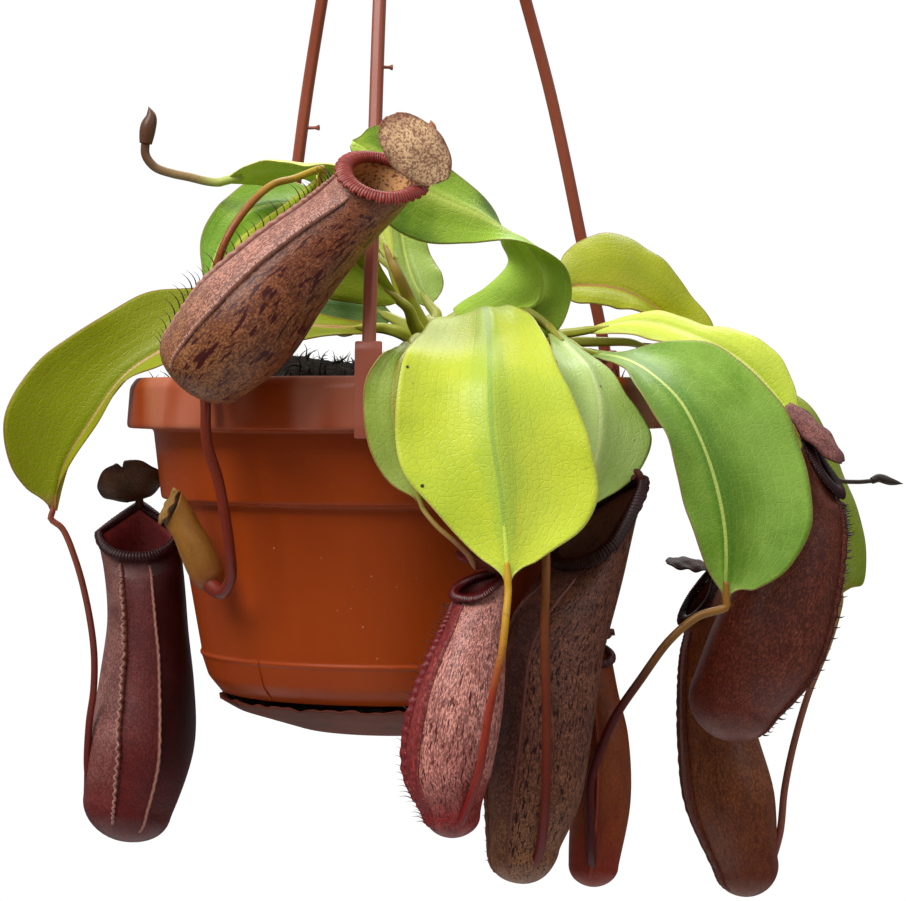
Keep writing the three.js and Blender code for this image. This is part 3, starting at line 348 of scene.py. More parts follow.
pot_plastic = moulded("pot_plastic", (152, 58, 12), (170, 70, 20), (134, 46, 8))
pot_profile = eased(POT_OUTSIDE + POT_INSIDE, radius=0.9)
pot_profile = [(0.05, FOOT_Z)] + pot_profile + [(0.05, FOOT_Z + POT_FLOOR)]
pot = solid("pot_shell", *spun(pot_profile, POT_SIDES), pot_plastic)
cut(pot, STUD_HOLE_R, 0, 0, FOOT_Z - 2, FOOT_Z + POT_FLOOR + 2)
for k in range(4):
    drain = math.pi / 4 + k * math.pi / 2
    cut(pot, DRAIN_HOLE_R, DRAIN_RING_R * math.cos(drain), DRAIN_RING_R * math.sin(drain),
        FOOT_Z - 2, FOOT_Z + POT_FLOOR + 2)
keep(pot, "pot_plastic", "pot")


RAIL_SAMPLES = 201


class Rail:
    """Smooth curve through points given in millimetres (centripetal Catmull-Rom)."""

    def __init__(self, points):
        self.points = np.array(points, float)
        samples = np.array([self.at(t) for t in np.linspace(0, 1, RAIL_SAMPLES)])
        steps = np.linalg.norm(np.diff(samples, axis=0), axis=1)
        self.lengths = np.concatenate([[0], np.cumsum(steps)])

    def at(self, t):
        """The point at a share of the way, where each stretch between two points counts the same."""
        p = self.points
        last = len(p) - 1
        k = min(int(t * last), last - 1)
        w = t * last - k
        q = [p[k - 1] if k > 0 else 2 * p[0] - p[1], p[k], p[k + 1],
             p[k + 2] if k + 2 <= last else 2 * p[last] - p[last - 1]]
        d = [max(np.linalg.norm(q[i + 1] - q[i]) ** 0.5, 1e-4) for i in range(3)]
        t1 = (q[1] - q[0]) / d[0] - (q[2] - q[0]) / (d[0] + d[1]) + (q[2] - q[1]) / d[1]
        t2 = (q[2] - q[1]) / d[1] - (q[3] - q[1]) / (d[1] + d[2]) + (q[3] - q[2]) / d[2]
        t1, t2 = t1 * d[1], t2 * d[1]
        c2 = -3 * q[1] + 3 * q[2] - 2 * t1 - t2
        c3 = 2 * q[1] - 2 * q[2] + t1 + t2
        return q[1] + t1 * w + c2 * w ** 2 + c3 * w ** 3

    def along(self, u):
        """The point at a share of the curve's length."""
        shares = np.linspace(0, 1, RAIL_SAMPLES)
        return self.at(float(np.interp(u * self.lengths[-1], self.lengths, shares)))


def unit(v):
    """The same direction with a length of one."""
    return v / max(np.linalg.norm(v), 1e-9)


def closed_tube(points, radius, steps, sides, section=None, start=0):
    """Points and faces of a closed tube along a smooth path, turned as little as possible from ring to
    ring. radius is a function of the share of the length, section of the angle; faces count from start."""
    rail = Rail(points)
    centres = np.array([rail.along(u) for u in np.linspace(0, 1, steps + 1)])
    heading = np.gradient(centres, axis=0)
    across = unit(np.cross(heading[0], (0.31, 0.95, 0.08) if abs(unit(heading[0])[1]) < 0.9 else (1, 0, 0)))
    turn = even_turns(sides)
    rings = []
    for i, centre in enumerate(centres):
        ahead = unit(heading[i])
        across = unit(across - ahead * np.dot(across, ahead))
        up = np.cross(ahead, across)
        r = radius(i / steps) * (np.array([section(t) for t in turn]) if section else np.ones(sides))
        rings.append(centre + np.outer(r * np.cos(turn), across) + np.outer(r * np.sin(turn), up))
    return np.concatenate(rings), closed_faces(steps + 1, sides, start)


# The fine ridge that the mould left on the rounded bottom, with the stub of its gate on the bead.
c, s = math.cos(SEAM_TURN), math.sin(SEAM_TURN)
ridge_path = [(r * c, r * s, z) for r, z in SEAM]
ridge = closed_tube(ridge_path, lambda u: 0.22 + 0.5 * max(0, 1 - 9 * u), steps=20, sides=8)
keep(solid("pot_seam", *ridge, pot_plastic), "pot_plastic")

# ---------------------------------------------------------------- saucer
# A shallow dish of the same plastic, coloured darker and browner to paint the shade that it sits in under
# the pot, and blotched with wet mix. A stud in its middle snaps through the pot's floor, six ribs carry the
# floor, and the thin lip is a little ragged.
SAUCER_LIP_Z = -82.0
SAUCER_T = 1.4
SAUCER_FLOOR_Z = -90.3
STUD_R = STUD_HOLE_R - 0.3
STUD_HEAD_R = 5.4
STUD_SIDES = 40
SAUCER_RIBS = 6
RIB_HALF_W = 0.8
RIB_ENDS = ((30.5, -87.6), (39.5, -84.8))  # radius and underside of a rib at its inner and outer end

# the saucer's colours are the pot's plastic made darker, as painted shade under the pot; its dark blotches
# are wet mix
saucer_plastic = moulded("saucer_plastic", (96, 40, 26), (112, 52, 36), (74, 30, 20), roughness=0.6,
                          dirt=0.5)
dish_profile = (
    (0.05, SAUCER_FLOOR_Z), (25, SAUCER_FLOOR_Z), (42, -85), (46.8, SAUCER_LIP_Z),
    (45.6, SAUCER_LIP_Z + 0.3), (41.4, -83.6), (24.6, SAUCER_FLOOR_Z + SAUCER_T),
    (0.05, SAUCER_FLOOR_Z + SAUCER_T),
)
dish = solid("saucer_dish", *spun(eased(dish_profile, radius=1.6), POT_SIDES), saucer_plastic)
for vertex in dish.data.vertices:  # makes the lip ragged
    x, y, z = vertex.co / MM
    lip = np.clip((z + HANG_DROP - SAUCER_LIP_Z + 1.2) / 1.2, 0, 1)
    turn = math.atan2(y, x)
    ragged = 0.35 * math.sin(23 * turn) * math.sin(7 * turn + 1) + 0.25 * math.sin(51 * turn)
    vertex.co.z += lip * ragged * MM
keep(dish, "saucer_plastic", "saucer")

stud_top = FOOT_Z + POT_FLOOR + 0.3
stud_profile = (
    (0.05, SAUCER_FLOOR_Z + 0.5), (STUD_R, SAUCER_FLOOR_Z + 0.5), (STUD_R, stud_top),
    (STUD_HEAD_R, stud_top), (STUD_HEAD_R - 0.6, stud_top + 1.2), (3, stud_top + 3), (0.05, stud_top + 3),
)
stud = solid("saucer_stud", *spun(eased(stud_profile, radius=0.4), STUD_SIDES), saucer_plastic)
keep(stud, "saucer_plastic")

BLOCK_FACES = ((3, 2, 1, 0), (4, 5, 6, 7), (0, 1, 5, 4), (1, 2, 6, 5), (2, 3, 7, 6), (3, 0, 4, 7))
inner, outer = RIB_ENDS
rib_points, rib_faces = [], []
for k in range(SAUCER_RIBS):
    turn = k * math.pi / 3 + math.pi / 6
    c, s = math.cos(turn), math.sin(turn)
    base = len(rib_points)
    for low in (True, False):
        for (r, foot), side in ((inner, -1), (outer, -1), (outer, 1), (inner, 1)):
            w = side * RIB_HALF_W
            rib_points.append((r * c - w * s, r * s + w * c, foot if low else FOOT_Z - 0.3))
    rib_faces += [tuple(base + i for i in face) for face in BLOCK_FACES]
ribs = solid("saucer_ribs", rib_points, rib_faces, saucer_plastic, smooth=False)
keep(ribs, "saucer_plastic")

# ---------------------------------------------------------------- hanger
# One moulding of softer plastic: three bowed rods with a groove down each side, a clip at the foot of
# each that hooks under the rim, a hub where they meet, and an open hook. Stubs of the gates are left.
ROD_TURNS = tuple(math.radians(a) for a in (34, 120.5, 264.3))
ROD_R = 1.65
ROD_BOW = ((69, 5.5), (66.2, 17), (60, 39), (54.5, 60), (49, 79), (40, 105), (23, 152), (3, 203))
CLIP_W = 6.2
CLIP_OUTLINE = (
    (70.4, -13.5), (66, -13.5), (66, -14.9), (72, -14.9), (72.4, -12), (71.4, 0), (70.9, 6.2), (70.2, 8),
    (68.4, 8), (68.8, 0.6), (69.8, -1),
)
HUB_Z = 203.0
HUB_PROFILE = (
    (0.05, HUB_Z - 4), (4, HUB_Z - 3), (5, HUB_Z), (3.4, HUB_Z + 5), (1.9, HUB_Z + 8), (0.05, HUB_Z + 8),
)
HOOK_R = 9.0
HOOK_WIRE_R = 1.9
HOOK_CENTRE_Z = HANG_DROP - HOOK_R + HOOK_WIRE_R
GATE_STUBS = ((1, 69.3, 3.2, 0.45), (2, 74.5, 2.2, 0.4))  # rod, height, length, radius
ROD_STEPS, ROD_SIDES = 60, 20
HOOK_STEPS, HOOK_SIDES = 64, 14
HUB_SIDES = 24


def grooved(turn):
    """Section of a rod: nearly square with round corners, and a shallow groove down each side."""
    return 1.0 - 0.06 * math.cos(4 * turn) - 0.10 * math.exp(-((math.cos(turn)) / 0.16) ** 2)


def hanger_plastic():
    """Softer plastic in a paler terracotta, with flow marks along the rods."""
    finish = Finish("hanger_plastic", specular=0.35, coat=0.05, coat_roughness=0.3)
    flow = finish.noise(40.0, detail=4.0, stretch=(1.0, 1.0, 0.12))
    colour = finish.mix(finish.step(flow, 0.3, 0.7), (146, 70, 50), (172, 92, 70))
    colour = finish.tint(colour, (118, 54, 38), finish.noise(420.0, detail=4.0), 0.15)
    gloss = finish.calc("MULTIPLY_ADD", finish.noise(150.0), 0.16, 0.3)
    return finish.done(colour, gloss, finish.noise(900.0), depth=0.00005)


def clip(turn):
    """Points and faces of one clip: its outline across the rim, as wide as the plate."""
    outline = eased(CLIP_OUTLINE + CLIP_OUTLINE[:1], radius=0.45)[1:]
    n = len(outline)
    c, s = math.cos(turn), math.sin(turn)
    points = []
    for w, inset in ((-CLIP_W / 2, 0.3), (-CLIP_W / 2 + 0.3, 0), (CLIP_W / 2 - 0.3, 0), (CLIP_W / 2, 0.3)):
        middle = np.mean(outline, axis=0)
        for r, z in outline:
            r += (middle[0] - r) * inset * 0.12
            z += (middle[1] - z) * inset * 0.05
            points.append((r * c - w * s, r * s + w * c, z))
    faces = [face[::-1] for face in ring_faces(4, n)]
    faces.append(tuple(range(n)))
    faces.append(tuple(reversed(range(3 * n, 4 * n))))
    return points, faces


def gather(parts):
    """Joins the points and faces of several closed parts into one list of each."""
    points, faces = [], []
    for more_points, more_faces in parts:
        base = len(points)
        points.extend(more_points)
        faces.extend(tuple(base + i for i in face) for face in more_faces)
    return points, faces


wire = [(0, 0, HUB_Z + 5), (0, 0, HUB_Z + 9), (-4, 0, HUB_Z + 15), (-8.2, 0, HOOK_CENTRE_Z - 5)]
for k in range(8):
    a = math.pi - k * math.pi / 6
    wire.append((HOOK_R * math.cos(a), 0, HOOK_CENTRE_Z + HOOK_R * math.sin(a)))
hook = closed_tube(wire, lambda u: HOOK_WIRE_R - 0.2 * u - 0.5 * max(0, u - 0.97) / 0.03, HOOK_STEPS,
                   HOOK_SIDES)
hanger_parts = [spun(eased(HUB_PROFILE, radius=0.8), HUB_SIDES), hook]
for k, turn in enumerate(ROD_TURNS):
    c, s = math.cos(turn), math.sin(turn)
    path = [(r * c, r * s, z) for r, z in ROD_BOW]
    hanger_parts.append(closed_tube(path, lambda u: ROD_R, ROD_STEPS, ROD_SIDES, grooved))
    hanger_parts.append(clip(turn))
    for rod, height, reach, radius in GATE_STUBS:
        if rod == k:
            r = float(np.interp(height, [p[1] for p in ROD_BOW], [p[0] for p in ROD_BOW]))
            side = 1 if s > 0 else -1
            foot = np.array((r * c, r * s, height))
            out = np.array((0.96, -0.28 * side, 0.0))
            stub = [foot + out * d for d in (0.6, 1.6 + reach * 0.5, 1.6 + reach)]
            hanger_parts.append(closed_tube(
                stub, lambda u: radius * (1 + 0.9 * max(0, u - 0.75) / 0.25), steps=8, sides=10))
hanger = solid("hanger_moulding", *gather(hanger_parts), hanger_plastic())
hanger.data.set_sharp_from_angle(angle=math.radians(50))
keep(hanger, "hanger_plastic", "hanger")

# ---------------------------------------------------------------- soil
# Dark fibrous mix of bark, coir and moss that fills the pot and heaps a little at the front left. Loose
# fibres lie on it, and litter from it has gathered in the gap between the pot and the saucer.
STEM_X, STEM_Y, STEM_R, STEM_FOOT_Z = 8.0, 0.0, 6.2, -12.0
SOIL_R = 63.4
SOIL_RINGS = 44
SOIL_SIDES = 120
SOIL_WALL = ((61, -13.4), (59.2, -30), (56, -32.8), (48.8, -69), (44.2, FOOT_Z + POT_FLOOR + 0.3))
LEDGE_SIDES = 96
LEDGE = ((36, -85.6), (44.4, -82.6))  # radius and height of the strip of saucer that holds the litter


def soil_height(x, y):
    """The top of the mix at a place: lumps, a mound, crumbs and grains, and a fall towards the wall."""
    r = math.hypot(x, y)
    lumps = math.sin(0.31 * x + 1) * math.cos(0.27 * y) + 0.6 * math.sin(0.55 * y - 0.4 * x)
    mound = 3.2 * math.exp(-((x + 26) ** 2 + (y + 34) ** 2) / 260)
    fall = min(1, max(0, (r - 48) / 16.2))
    crumbs = 0.5 * math.sin(1.7 * x + 0.9 * y) * math.sin(1.3 * y - 0.6 * x)
    grains = 0.3 * math.sin(3.1 * x) * math.sin(2.9 * y)
    return 1.4 + 0.7 * lumps + mound + (crumbs + grains) - 4.6 * fall * fall * (3 - 2 * fall)


def soil_finish():
    """Nearly black and matt, with brown grains and a few pale ones."""
    finish = Finish("growing_mix", specular=0.25)
    crumbs = finish.cells(700.0)
    tone = finish.noise(420.0, detail=6.0)
    colour = finish.mix(finish.step(tone, 0.35, 0.75), (14, 11, 9), (48, 35, 26))
    colour = finish.mix(finish.step(finish.noise(900.0), 0.68, 0.74), colour, (120, 98, 74))
    height = finish.calc("ADD", tone, crumbs)
    return finish.done(colour, 0.92, height, depth=0.0006, strength=0.9)


def recipe(name, inputs):
    """An empty Geometry Nodes tree with named inputs: its nodes, the input node and the output node."""
    tree = bpy.data.node_groups.new(name, "GeometryNodeTree")
    tree.interface.new_socket("Geometry", in_out="INPUT", socket_type="NodeSocketGeometry")
    for label, kind in inputs:
        tree.interface.new_socket(label, in_out="INPUT", socket_type="NodeSocket" + kind)
    tree.interface.new_socket("Geometry", in_out="OUTPUT", socket_type="NodeSocketGeometry")
    nodes = Nodes(tree)
    return nodes, nodes.add("NodeGroupInput").outputs, nodes.add("NodeGroupOutput")


def grown(source, tree, name, values):
    """Runs a tree on a source object, and leaves a plain mesh in its place."""
    modifier = source.modifiers.new("grow", "NODES")
    modifier.node_group = tree
    for item in tree.interface.items_tree:
        if item.in_out == "INPUT" and item.name in values:
            modifier[item.identifier] = values[item.name]
    graph = bpy.context.evaluated_depsgraph_get()
    mesh = bpy.data.meshes.new_from_object(source.evaluated_get(graph))
    mesh.name = name
    bpy.data.objects.remove(source)
    return link(name, mesh)


def finished(nodes, shape, given, out):
    """Ends a tree: makes its instances real and gives them the named material."""
    real = nodes.add("GeometryNodeRealizeInstances", {0: shape}).outputs[0]
    painted = nodes.add("GeometryNodeSetMaterial", {"Geometry": real, "Material": given["Material"]})
    nodes.tree.links.new(painted.outputs[0], out.inputs[0])
    return nodes.tree


def hair_shape(nodes, length, radius, bend, sides):
    """A tapered, bent bristle that stands up from its foot."""
    sideways = nodes.times(length, bend)
    halfway = nodes.times(length, 0.5)
    middle = nodes.add("ShaderNodeCombineXYZ", {"X": sideways, "Z": halfway}).outputs[0]
    tip = nodes.add("ShaderNodeCombineXYZ", {"X": nodes.times(sideways, -1.0), "Z": length}).outputs[0]
    line = nodes.add("GeometryNodeCurveQuadraticBezier",
                     {"Resolution": 5, "Start": (0.0, 0.0, 0.0), "Middle": middle, "End": tip}).outputs[0]
    factor = nodes.add("GeometryNodeSplineParameter").outputs["Factor"]
    thin = nodes.calc("MULTIPLY_ADD", factor, -0.9, 1.0)
    ring = nodes.add("GeometryNodeCurvePrimitiveCircle", {"Resolution": sides, "Radius": radius}).outputs[0]
    feed = {"Curve": line, "Profile Curve": ring, "Scale": thin, "Fill Caps": True}
    return nodes.add("GeometryNodeCurveToMesh", feed).outputs[0]


def litter_tree():
    """Fibres and crumbs scattered over the faces of a surface that look up."""
    nodes, given, out = recipe("loose_litter", (
        ("Per square metre", "Float"), ("Fibre length", "Float"), ("Fibre radius", "Float"),
        ("Seed", "Int"), ("Material", "Material")))
    normal = nodes.add("GeometryNodeInputNormal").outputs[0]
    upward = nodes.add("ShaderNodeSeparateXYZ", {0: normal}).outputs["Z"]
    chosen = nodes.add("FunctionNodeCompare", {0: upward, 1: 0.4}, operation="GREATER_THAN").outputs[0]
    dots = nodes.add("GeometryNodeDistributePointsOnFaces", {
        "Mesh": given["Geometry"], "Selection": chosen, "Density": given["Per square metre"],
        "Seed": given["Seed"]}).outputs["Points"]
    fibre = hair_shape(nodes, given["Fibre length"], given["Fibre radius"], bend=0.22, sides=4)
    lean = nodes.add("FunctionNodeRandomValue", {0: (-1.45, -1.45, 0.0), 1: (1.45, 1.45, 6.28), "Seed": 3},
                     data_type="FLOAT_VECTOR").outputs[0]
    size = nodes.add("FunctionNodeRandomValue", {2: 0.35, 3: 1.25, "Seed": 5}).outputs[1]
    strewn = nodes.add("GeometryNodeInstanceOnPoints", {
        "Points": dots, "Instance": fibre, "Rotation": lean, "Scale": size}).outputs[0]
    return finished(nodes, strewn, given, out)


def soil_surface():
    """Points and faces of the mix: a lumpy top, the wall against the pot, and a floor."""
    turn = even_turns(SOIL_SIDES)
    points = [(0.0, 0.0, soil_height(0, 0))]
    for i in range(1, SOIL_RINGS + 1):
        r = SOIL_R * i / SOIL_RINGS
        for t in turn:
            x, y = r * math.cos(t), r * math.sin(t)
            points.append((x, y, soil_height(x, y)))
    for r, z in SOIL_WALL:
        points.extend((r * math.cos(t), r * math.sin(t), z) for t in turn)
    count = SOIL_RINGS + len(SOIL_WALL)
    faces = [(0, 1 + j, 1 + (j + 1) % SOIL_SIDES) for j in range(SOIL_SIDES)]
    faces += [face[::-1] for face in ring_faces(count, SOIL_SIDES, 1)]
    last = 1 + (count - 1) * SOIL_SIDES
    faces.append(tuple(reversed(range(last, last + SOIL_SIDES))))
    return points, faces


growing_mix = soil_finish()
soil = solid("soil_body", *soil_surface(), growing_mix)
keep(soil, "soil", "soil")
litter = litter_tree()
scatter = solid("scatter", *soil_surface(), growing_mix)
fibres = grown(scatter, litter, "soil_fibres", {
    "Per square metre": 110000.0, "Fibre length": 0.0046, "Fibre radius": 0.00028, "Seed": 4,
    "Material": growing_mix})
keep(fibres, "soil")
ledge = [(r * math.cos(t), r * math.sin(t), z) for r, z in LEDGE for t in even_turns(LEDGE_SIDES)]
ledge_source = solid("ledge", ledge, [face[::-1] for face in ring_faces(2, LEDGE_SIDES)], growing_mix)
debris = grown(ledge_source, litter, "saucer_litter", {
    "Per square metre": 220000.0, "Fibre length": 0.0026, "Fibre radius": 0.0003, "Seed": 9,
    "Material": growing_mix})
keep(debris, "soil")

# ---------------------------------------------------------------- stem and petioles
# A short green crown stands in the mix, and a channelled stalk runs from it to the foot of each blade.
# Stalk and blade grew as one, so a stalk thins out under the start of its midrib.
PETIOLES = (
    ((7, -1, 8), (1, -3, 11.6)),
    ((9, -3, 5), (13, -16, 6.5), (15.6, -23, 9)),
    ((10, -4, 5), (17, -20, 7), (24, -31, 11), (31, -36, 16)),
    ((11, 0, 6), (30, -5, 10), (43, -13, 9)),
    ((10, 2, 12), (25, 3, 21)),
    ((11, 2, 5), (30, 2, 9), (42, 0, 11.4)),
    ((8, -3, 8), (8.6, -8, 11.5)),
    ((7, -2, 12), (3, -7, 20)),
    ((6, 0, 14), (1, 0.5, 22)),
    ((7, -4, 9), (4, -11, 14)),
    ((8, 2, 8), (8.8, 4, 13)),
    ((6, 5, 9), (3, 9, 13.5)),
    ((8, -5, 5), (7, -20, 8), (5, -34, 9.5)),
    ((11, 4, 4), (36, 9, 9), (55, 14.6, 9.8)),
)
PETIOLE_R = 2.2
PETIOLE_END_R = 1.1
CROWN_SIDES = 24
STALK_STEPS, STALK_SIDES = 36, 16
LEAVES = (  # slot, and points along the left margin, the midrib and the right margin
    dict(slot="leaf_olive",
         left=((-6.7, -4, 14.2), (-17.5, -6, 16), (-35, -4, 22), (-53.5, -6, 23.4), (-64, -9, 22),
             (-76, -14, 14.7), (-90.7, -18, 4.4), (-99, -20, -9.5), (-98, -18, -22), (-93.7, -15, -29),
             (-88.5, -12, -34.4)),
         mid=((-6.7, -4, 12.9), (-17.5, -8, 13.3), (-35, -10, 13.8), (-53.2, -12, 10), (-68.3, -14, 1.4),
             (-78, -14, -11.3), (-84.8, -13, -22.3), (-88, -12, -33.8)),
         right=((-6.7, -4, 11.4), (-17.4, -10, 10.7), (-34.6, -16, 8.2), (-51, -18, 6.2), (-61, -19.5, 2.8),
             (-69, -20.5, -1.2), (-76, -19, -11.8), (-82.8, -17, -21.5), (-86.7, -14, -28.7),
             (-88, -12, -34.4))),
    dict(slot="leaf_yellow_green", wave=0.8,
         left=((13.5, -30, 13.7), (10.3, -42, 14.3), (6.2, -56, 11.4), (1.4, -74, 4), (-0.5, -80, -8.2),
             (0.9, -82, -22), (7.3, -83, -30), (16.5, -84, -40), (24.7, -86, -47)),
         mid=((17.4, -30, 14.7), (21, -42, 17.2), (21.6, -56, 12.2), (21.4, -76, 0), (21.6, -82, -12.8),
             (23.4, -84, -25.3), (24.7, -85, -38), (25.1, -86, -47)),
         right=((20.4, -30, 15.2), (27, -42, 17.5), (31.7, -54, 14.4), (38.4, -70, 1.2), (44.2, -75, -15),
             (46.5, -78, -27.6), (43.2, -80, -35), (35, -83, -40.8), (25.6, -86, -47))),
    dict(slot="leaf_green",
         left=((37.2, -38, 10.2), (37.3, -48, 6.4), (37.8, -58, 2.4), (38, -64, -5), (37.6, -66, -15),
             (35.5, -66, -26), (34, -67, -33), (35.2, -68, -36.6)),
         mid=((38.4, -37, 11), (42.4, -45, 6.6), (46, -53, 2.2), (48.3, -59, -6), (48, -62, -16),
             (45, -65, -25), (40, -67, -32.5), (35.8, -68, -37)),
         right=((39.8, -37, 11.4), (45.4, -42, 6.4), (51, -46, 1.6), (56.2, -49, -5), (60.6, -50, -12.4),
             (60.4, -51, -18.4), (56.5, -54, -25), (48, -62, -29.8), (41, -66, -34), (36.2, -68, -37))),
    dict(slot="leaf_green",
         left=((47.9, -18, 5.4), (53, -36, 3.6), (57.5, -54, -2), (63.4, -57, -12.6), (67.7, -55, -26.2),
             (71.2, -53, -37), (75, -50, -47), (79.5, -48, -53.8)),
         mid=((48.2, -18, 6.4), (55.3, -30, 5), (61.8, -40, 1.1), (68.7, -45, -5.8), (73.2, -48, -14.5),
             (77, -49, -25.2), (79.4, -49, -37.3), (79.8, -48, -53.8)),
         right=((48.4, -18, 7.4), (56.3, -24, 6.3), (68.7, -26, 9), (80, -27, 8.3), (89, -30, 0.2),
             (97.4, -32, -10.2), (102, -34, -24.3), (102, -36, -37.4), (95.6, -41, -47.7), (87, -45, -52.3),
             (80, -48, -54))),
    dict(slot="leaf_olive",
         left=((41.2, 2, 23.8), (44, 12, 33), (50.7, 18, 37.5), (60, 20, 38.5), (69, 18, 33),
             (77, 16, 23.6), (83.2, 13, 15), (84.6, 12, 7.5)),
         mid=((41.2, 2, 23), (47.7, 6, 24.2), (58.5, 10, 23.3), (68, 13, 18.7), (77.4, 14, 11.6),
             (84, 12, 7)),
         right=((41.2, 2, 22.2), (46.8, 0, 19.5), (55.8, 2, 18.8), (65.6, 6, 16.3), (74.8, 9, 10.6),
             (83.6, 12, 6.5))),
    dict(slot="leaf_yellow_green",
         left=((49.8, -2, 13.2), (65.5, 0, 17.2), (78.5, 0, 14.6), (89.3, -1, 11.7), (98.4, -3, 6.7),
             (102.3, -5, -1.8), (104, -8, -13.4)),
         mid=((49.8, -2, 12.5), (62.6, -4, 14.5), (75.3, -6, 11.3), (88.2, -6, 4.6), (97.2, -6, -4.4),
             (103.4, -8, -13.9)),
         right=((49.8, -2, 11.4), (62.2, -8, 10.7), (74.7, -12, 6.6), (84.8, -13, -2), (93.8, -12, -9.6),
             (103, -8, -14.5))),
    dict(slot="leaf_green", wave=0, puff=0.05,
         left=((9.5, -15, 13.6), (16.3, -17, 19.2), (22.5, -20, 23), (27.9, -20, 29), (26, -23, 33.8),
             (25.2, -30, 38.6), (21, -40, 44), (12, -48, 50.7), (3, -56, 57.4), (-5.2, -60, 59.4),
             (-10.9, -62, 56)),
         mid=((13.7, -16, 13.8), (26.9, -24, 15.5), (35.7, -29, 19.7), (35.5, -33, 28), (31.6, -37, 33.7),
             (26.4, -42, 36), (19.4, -48, 39.3), (10, -53, 42.8), (1, -58, 47.2), (-6.2, -61.5, 52.7),
             (-10.9, -62, 55)),
         right=((18.3, -18, 12.6), (38.7, -25, 10.5), (43.2, -26, 19), (42.3, -32, 26), (36, -41, 30.7),
             (27.7, -47, 33), (17, -51, 32), (6.2, -55, 32), (-2.9, -62, 36.5), (-9, -64, 46.3),
             (-11.2, -62, 54))),
    dict(slot="leaf_yellow_green",
         left=((-0.5, -12, 30), (-3.6, -12, 42.3), (-13.4, -11, 52.9), (-26.2, -8, 55), (-38.3, -4, 55),
             (-44.7, 3, 52)),
         mid=((-1.6, -10, 30), (-6.7, -8, 41.5), (-15, -3, 51.5), (-26.9, 2, 54), (-37.3, 3, 53.3),
             (-44.4, 3, 51.5)),
         right=((-2.6, -8, 30.2), (-9.9, -2, 40.3), (-17.4, 6, 49.7), (-28, 10, 52), (-37.4, 8, 50.7),
             (-44, 3, 50.7))),
    dict(slot="leaf_green",
         left=((-3.7, 1, 31.5), (-14, 13, 46), (-26.3, 20, 52.3), (-37.8, 16, 52.6), (-46.2, 6, 46.2),
             (-50.8, -3, 36.2), (-50, -10, 27.6), (-48.7, -14, 22)),
         mid=((-3.7, 2, 30.7), (-14, 9, 40.5), (-26, 12, 46), (-36.8, 8, 44.8), (-43.7, 0, 38.5),
             (-47.3, -8, 29.8), (-48.4, -14, 21.8)),
         right=((-4, 3, 30), (-14.8, 6, 34.4), (-25.7, 5, 36.3), (-33.8, 0, 36), (-38.2, -6, 30),
             (-43, -12, 24), (-48.2, -14, 21.6))),
    dict(slot="leaf_yellow_green",
         left=((0.5, -18, 18), (-7.6, -22, 18.2), (-19.5, -26, 20.3), (-34, -30, 26), (-41, -32, 31.2),
             (-35, -35, 37.3), (-27.8, -38, 42.5), (-19.4, -40, 48.5)),
         mid=((0, -18, 19.6), (-6.6, -22, 25), (-13.2, -28, 31.2), (-18.8, -34, 37.8), (-20.2, -38, 44),
             (-18.9, -40, 48.7)),
         right=((-0.3, -18, 21), (-4, -24, 27.4), (-7.5, -32, 34.5), (-10.8, -38, 41), (-14.2, -41, 46.2),
             (-18.4, -40, 49))),
    dict(slot="leaf_green",
         left=((7.6, 6, 18.6), (0, 10, 22.6), (-3.2, 14, 31.2), (-3.7, 17, 42), (0.5, 20, 50.2)),
         mid=((8.4, 6.3, 18.9), (4.2, 11, 25.4), (1.6, 16, 34), (0.5, 18, 43.7), (1, 20, 50.5)),
         right=((9.4, 6, 19.2), (12, 12, 25.4), (8.5, 16, 33.6), (5.3, 19, 42.4), (1.6, 20, 50.5))),
    dict(slot="leaf_green",
         left=((-1.6, 14, 16.9), (-7.5, 22, 23.8), (-13.5, 29, 26.8), (-20, 33, 26.5), (-25, 33, 20)),
         mid=((-1.6, 14, 16), (-8, 20, 19.5), (-14.3, 26, 21.3), (-19.8, 30, 21.5), (-25, 32, 18.8)),
         right=((-1.6, 14, 15), (-7.5, 18, 13), (-13.9, 22, 11.5), (-20, 27, 13.2), (-25, 31, 17.7))),
    dict(slot="leaf_olive",
         left=((2.4, -46, 8.6), (0.6, -62, 7.4), (-1.4, -72.5, 6.2), (-4.8, -76, 3.4), (-7.4, -76.5, -1),
             (-8, -77, -7.7), (-6.5, -76.5, -17.5), (-2, -76.5, -25), (4.6, -77, -29)),
         mid=((3.4, -46, 8.2), (2.2, -62, 6.6), (0.2, -73, 3), (-1, -76.5, -3), (-0.9, -77.4, -10.5),
             (1.4, -77, -19.8), (5, -77, -29)),
         right=((4.4, -46, 7.8), (4.4, -62, 5.4), (4.6, -73, 1.6), (5.2, -75.4, -5), (6.5, -75.7, -11.6),
             (8, -75.7, -19.8), (7.4, -76.7, -25.8), (5.6, -77, -29))),
    dict(slot="leaf_olive",
         left=((64.5, 18, 9.8), (79.8, 30, 7.9), (96, 35, 2), (110.6, 33, -6), (122, 31, -27),
             (126.7, 29, -45), (125, 24, -56.2), (119.6, 22, -58)),
         mid=((64.5, 18, 9), (78, 26, 5.8), (93.8, 29, -3), (107.3, 27, -14), (116, 25, -30),
             (119.4, 24, -44.6), (119, 22, -57.7)),
         right=((64.4, 18, 8), (76.5, 22, 2), (90, 22, -8), (101.6, 20, -20), (109, 20, -35),
             (113, 21, -48.5), (118.5, 22, -57.7))),
)


def smooth(low, high, x):
    """0 below low, 1 above high and smooth between."""
    t = np.clip((np.asarray(x, float) - low) / (high - low), 0, 1)
    return t * t * (3 - 2 * t)


def channelled(turn):
    """Section of a petiole: round below, with a shallow channel along the top."""
    return 1.0 - 0.22 * math.exp(-((turn - math.pi / 2) / 0.5) ** 2)


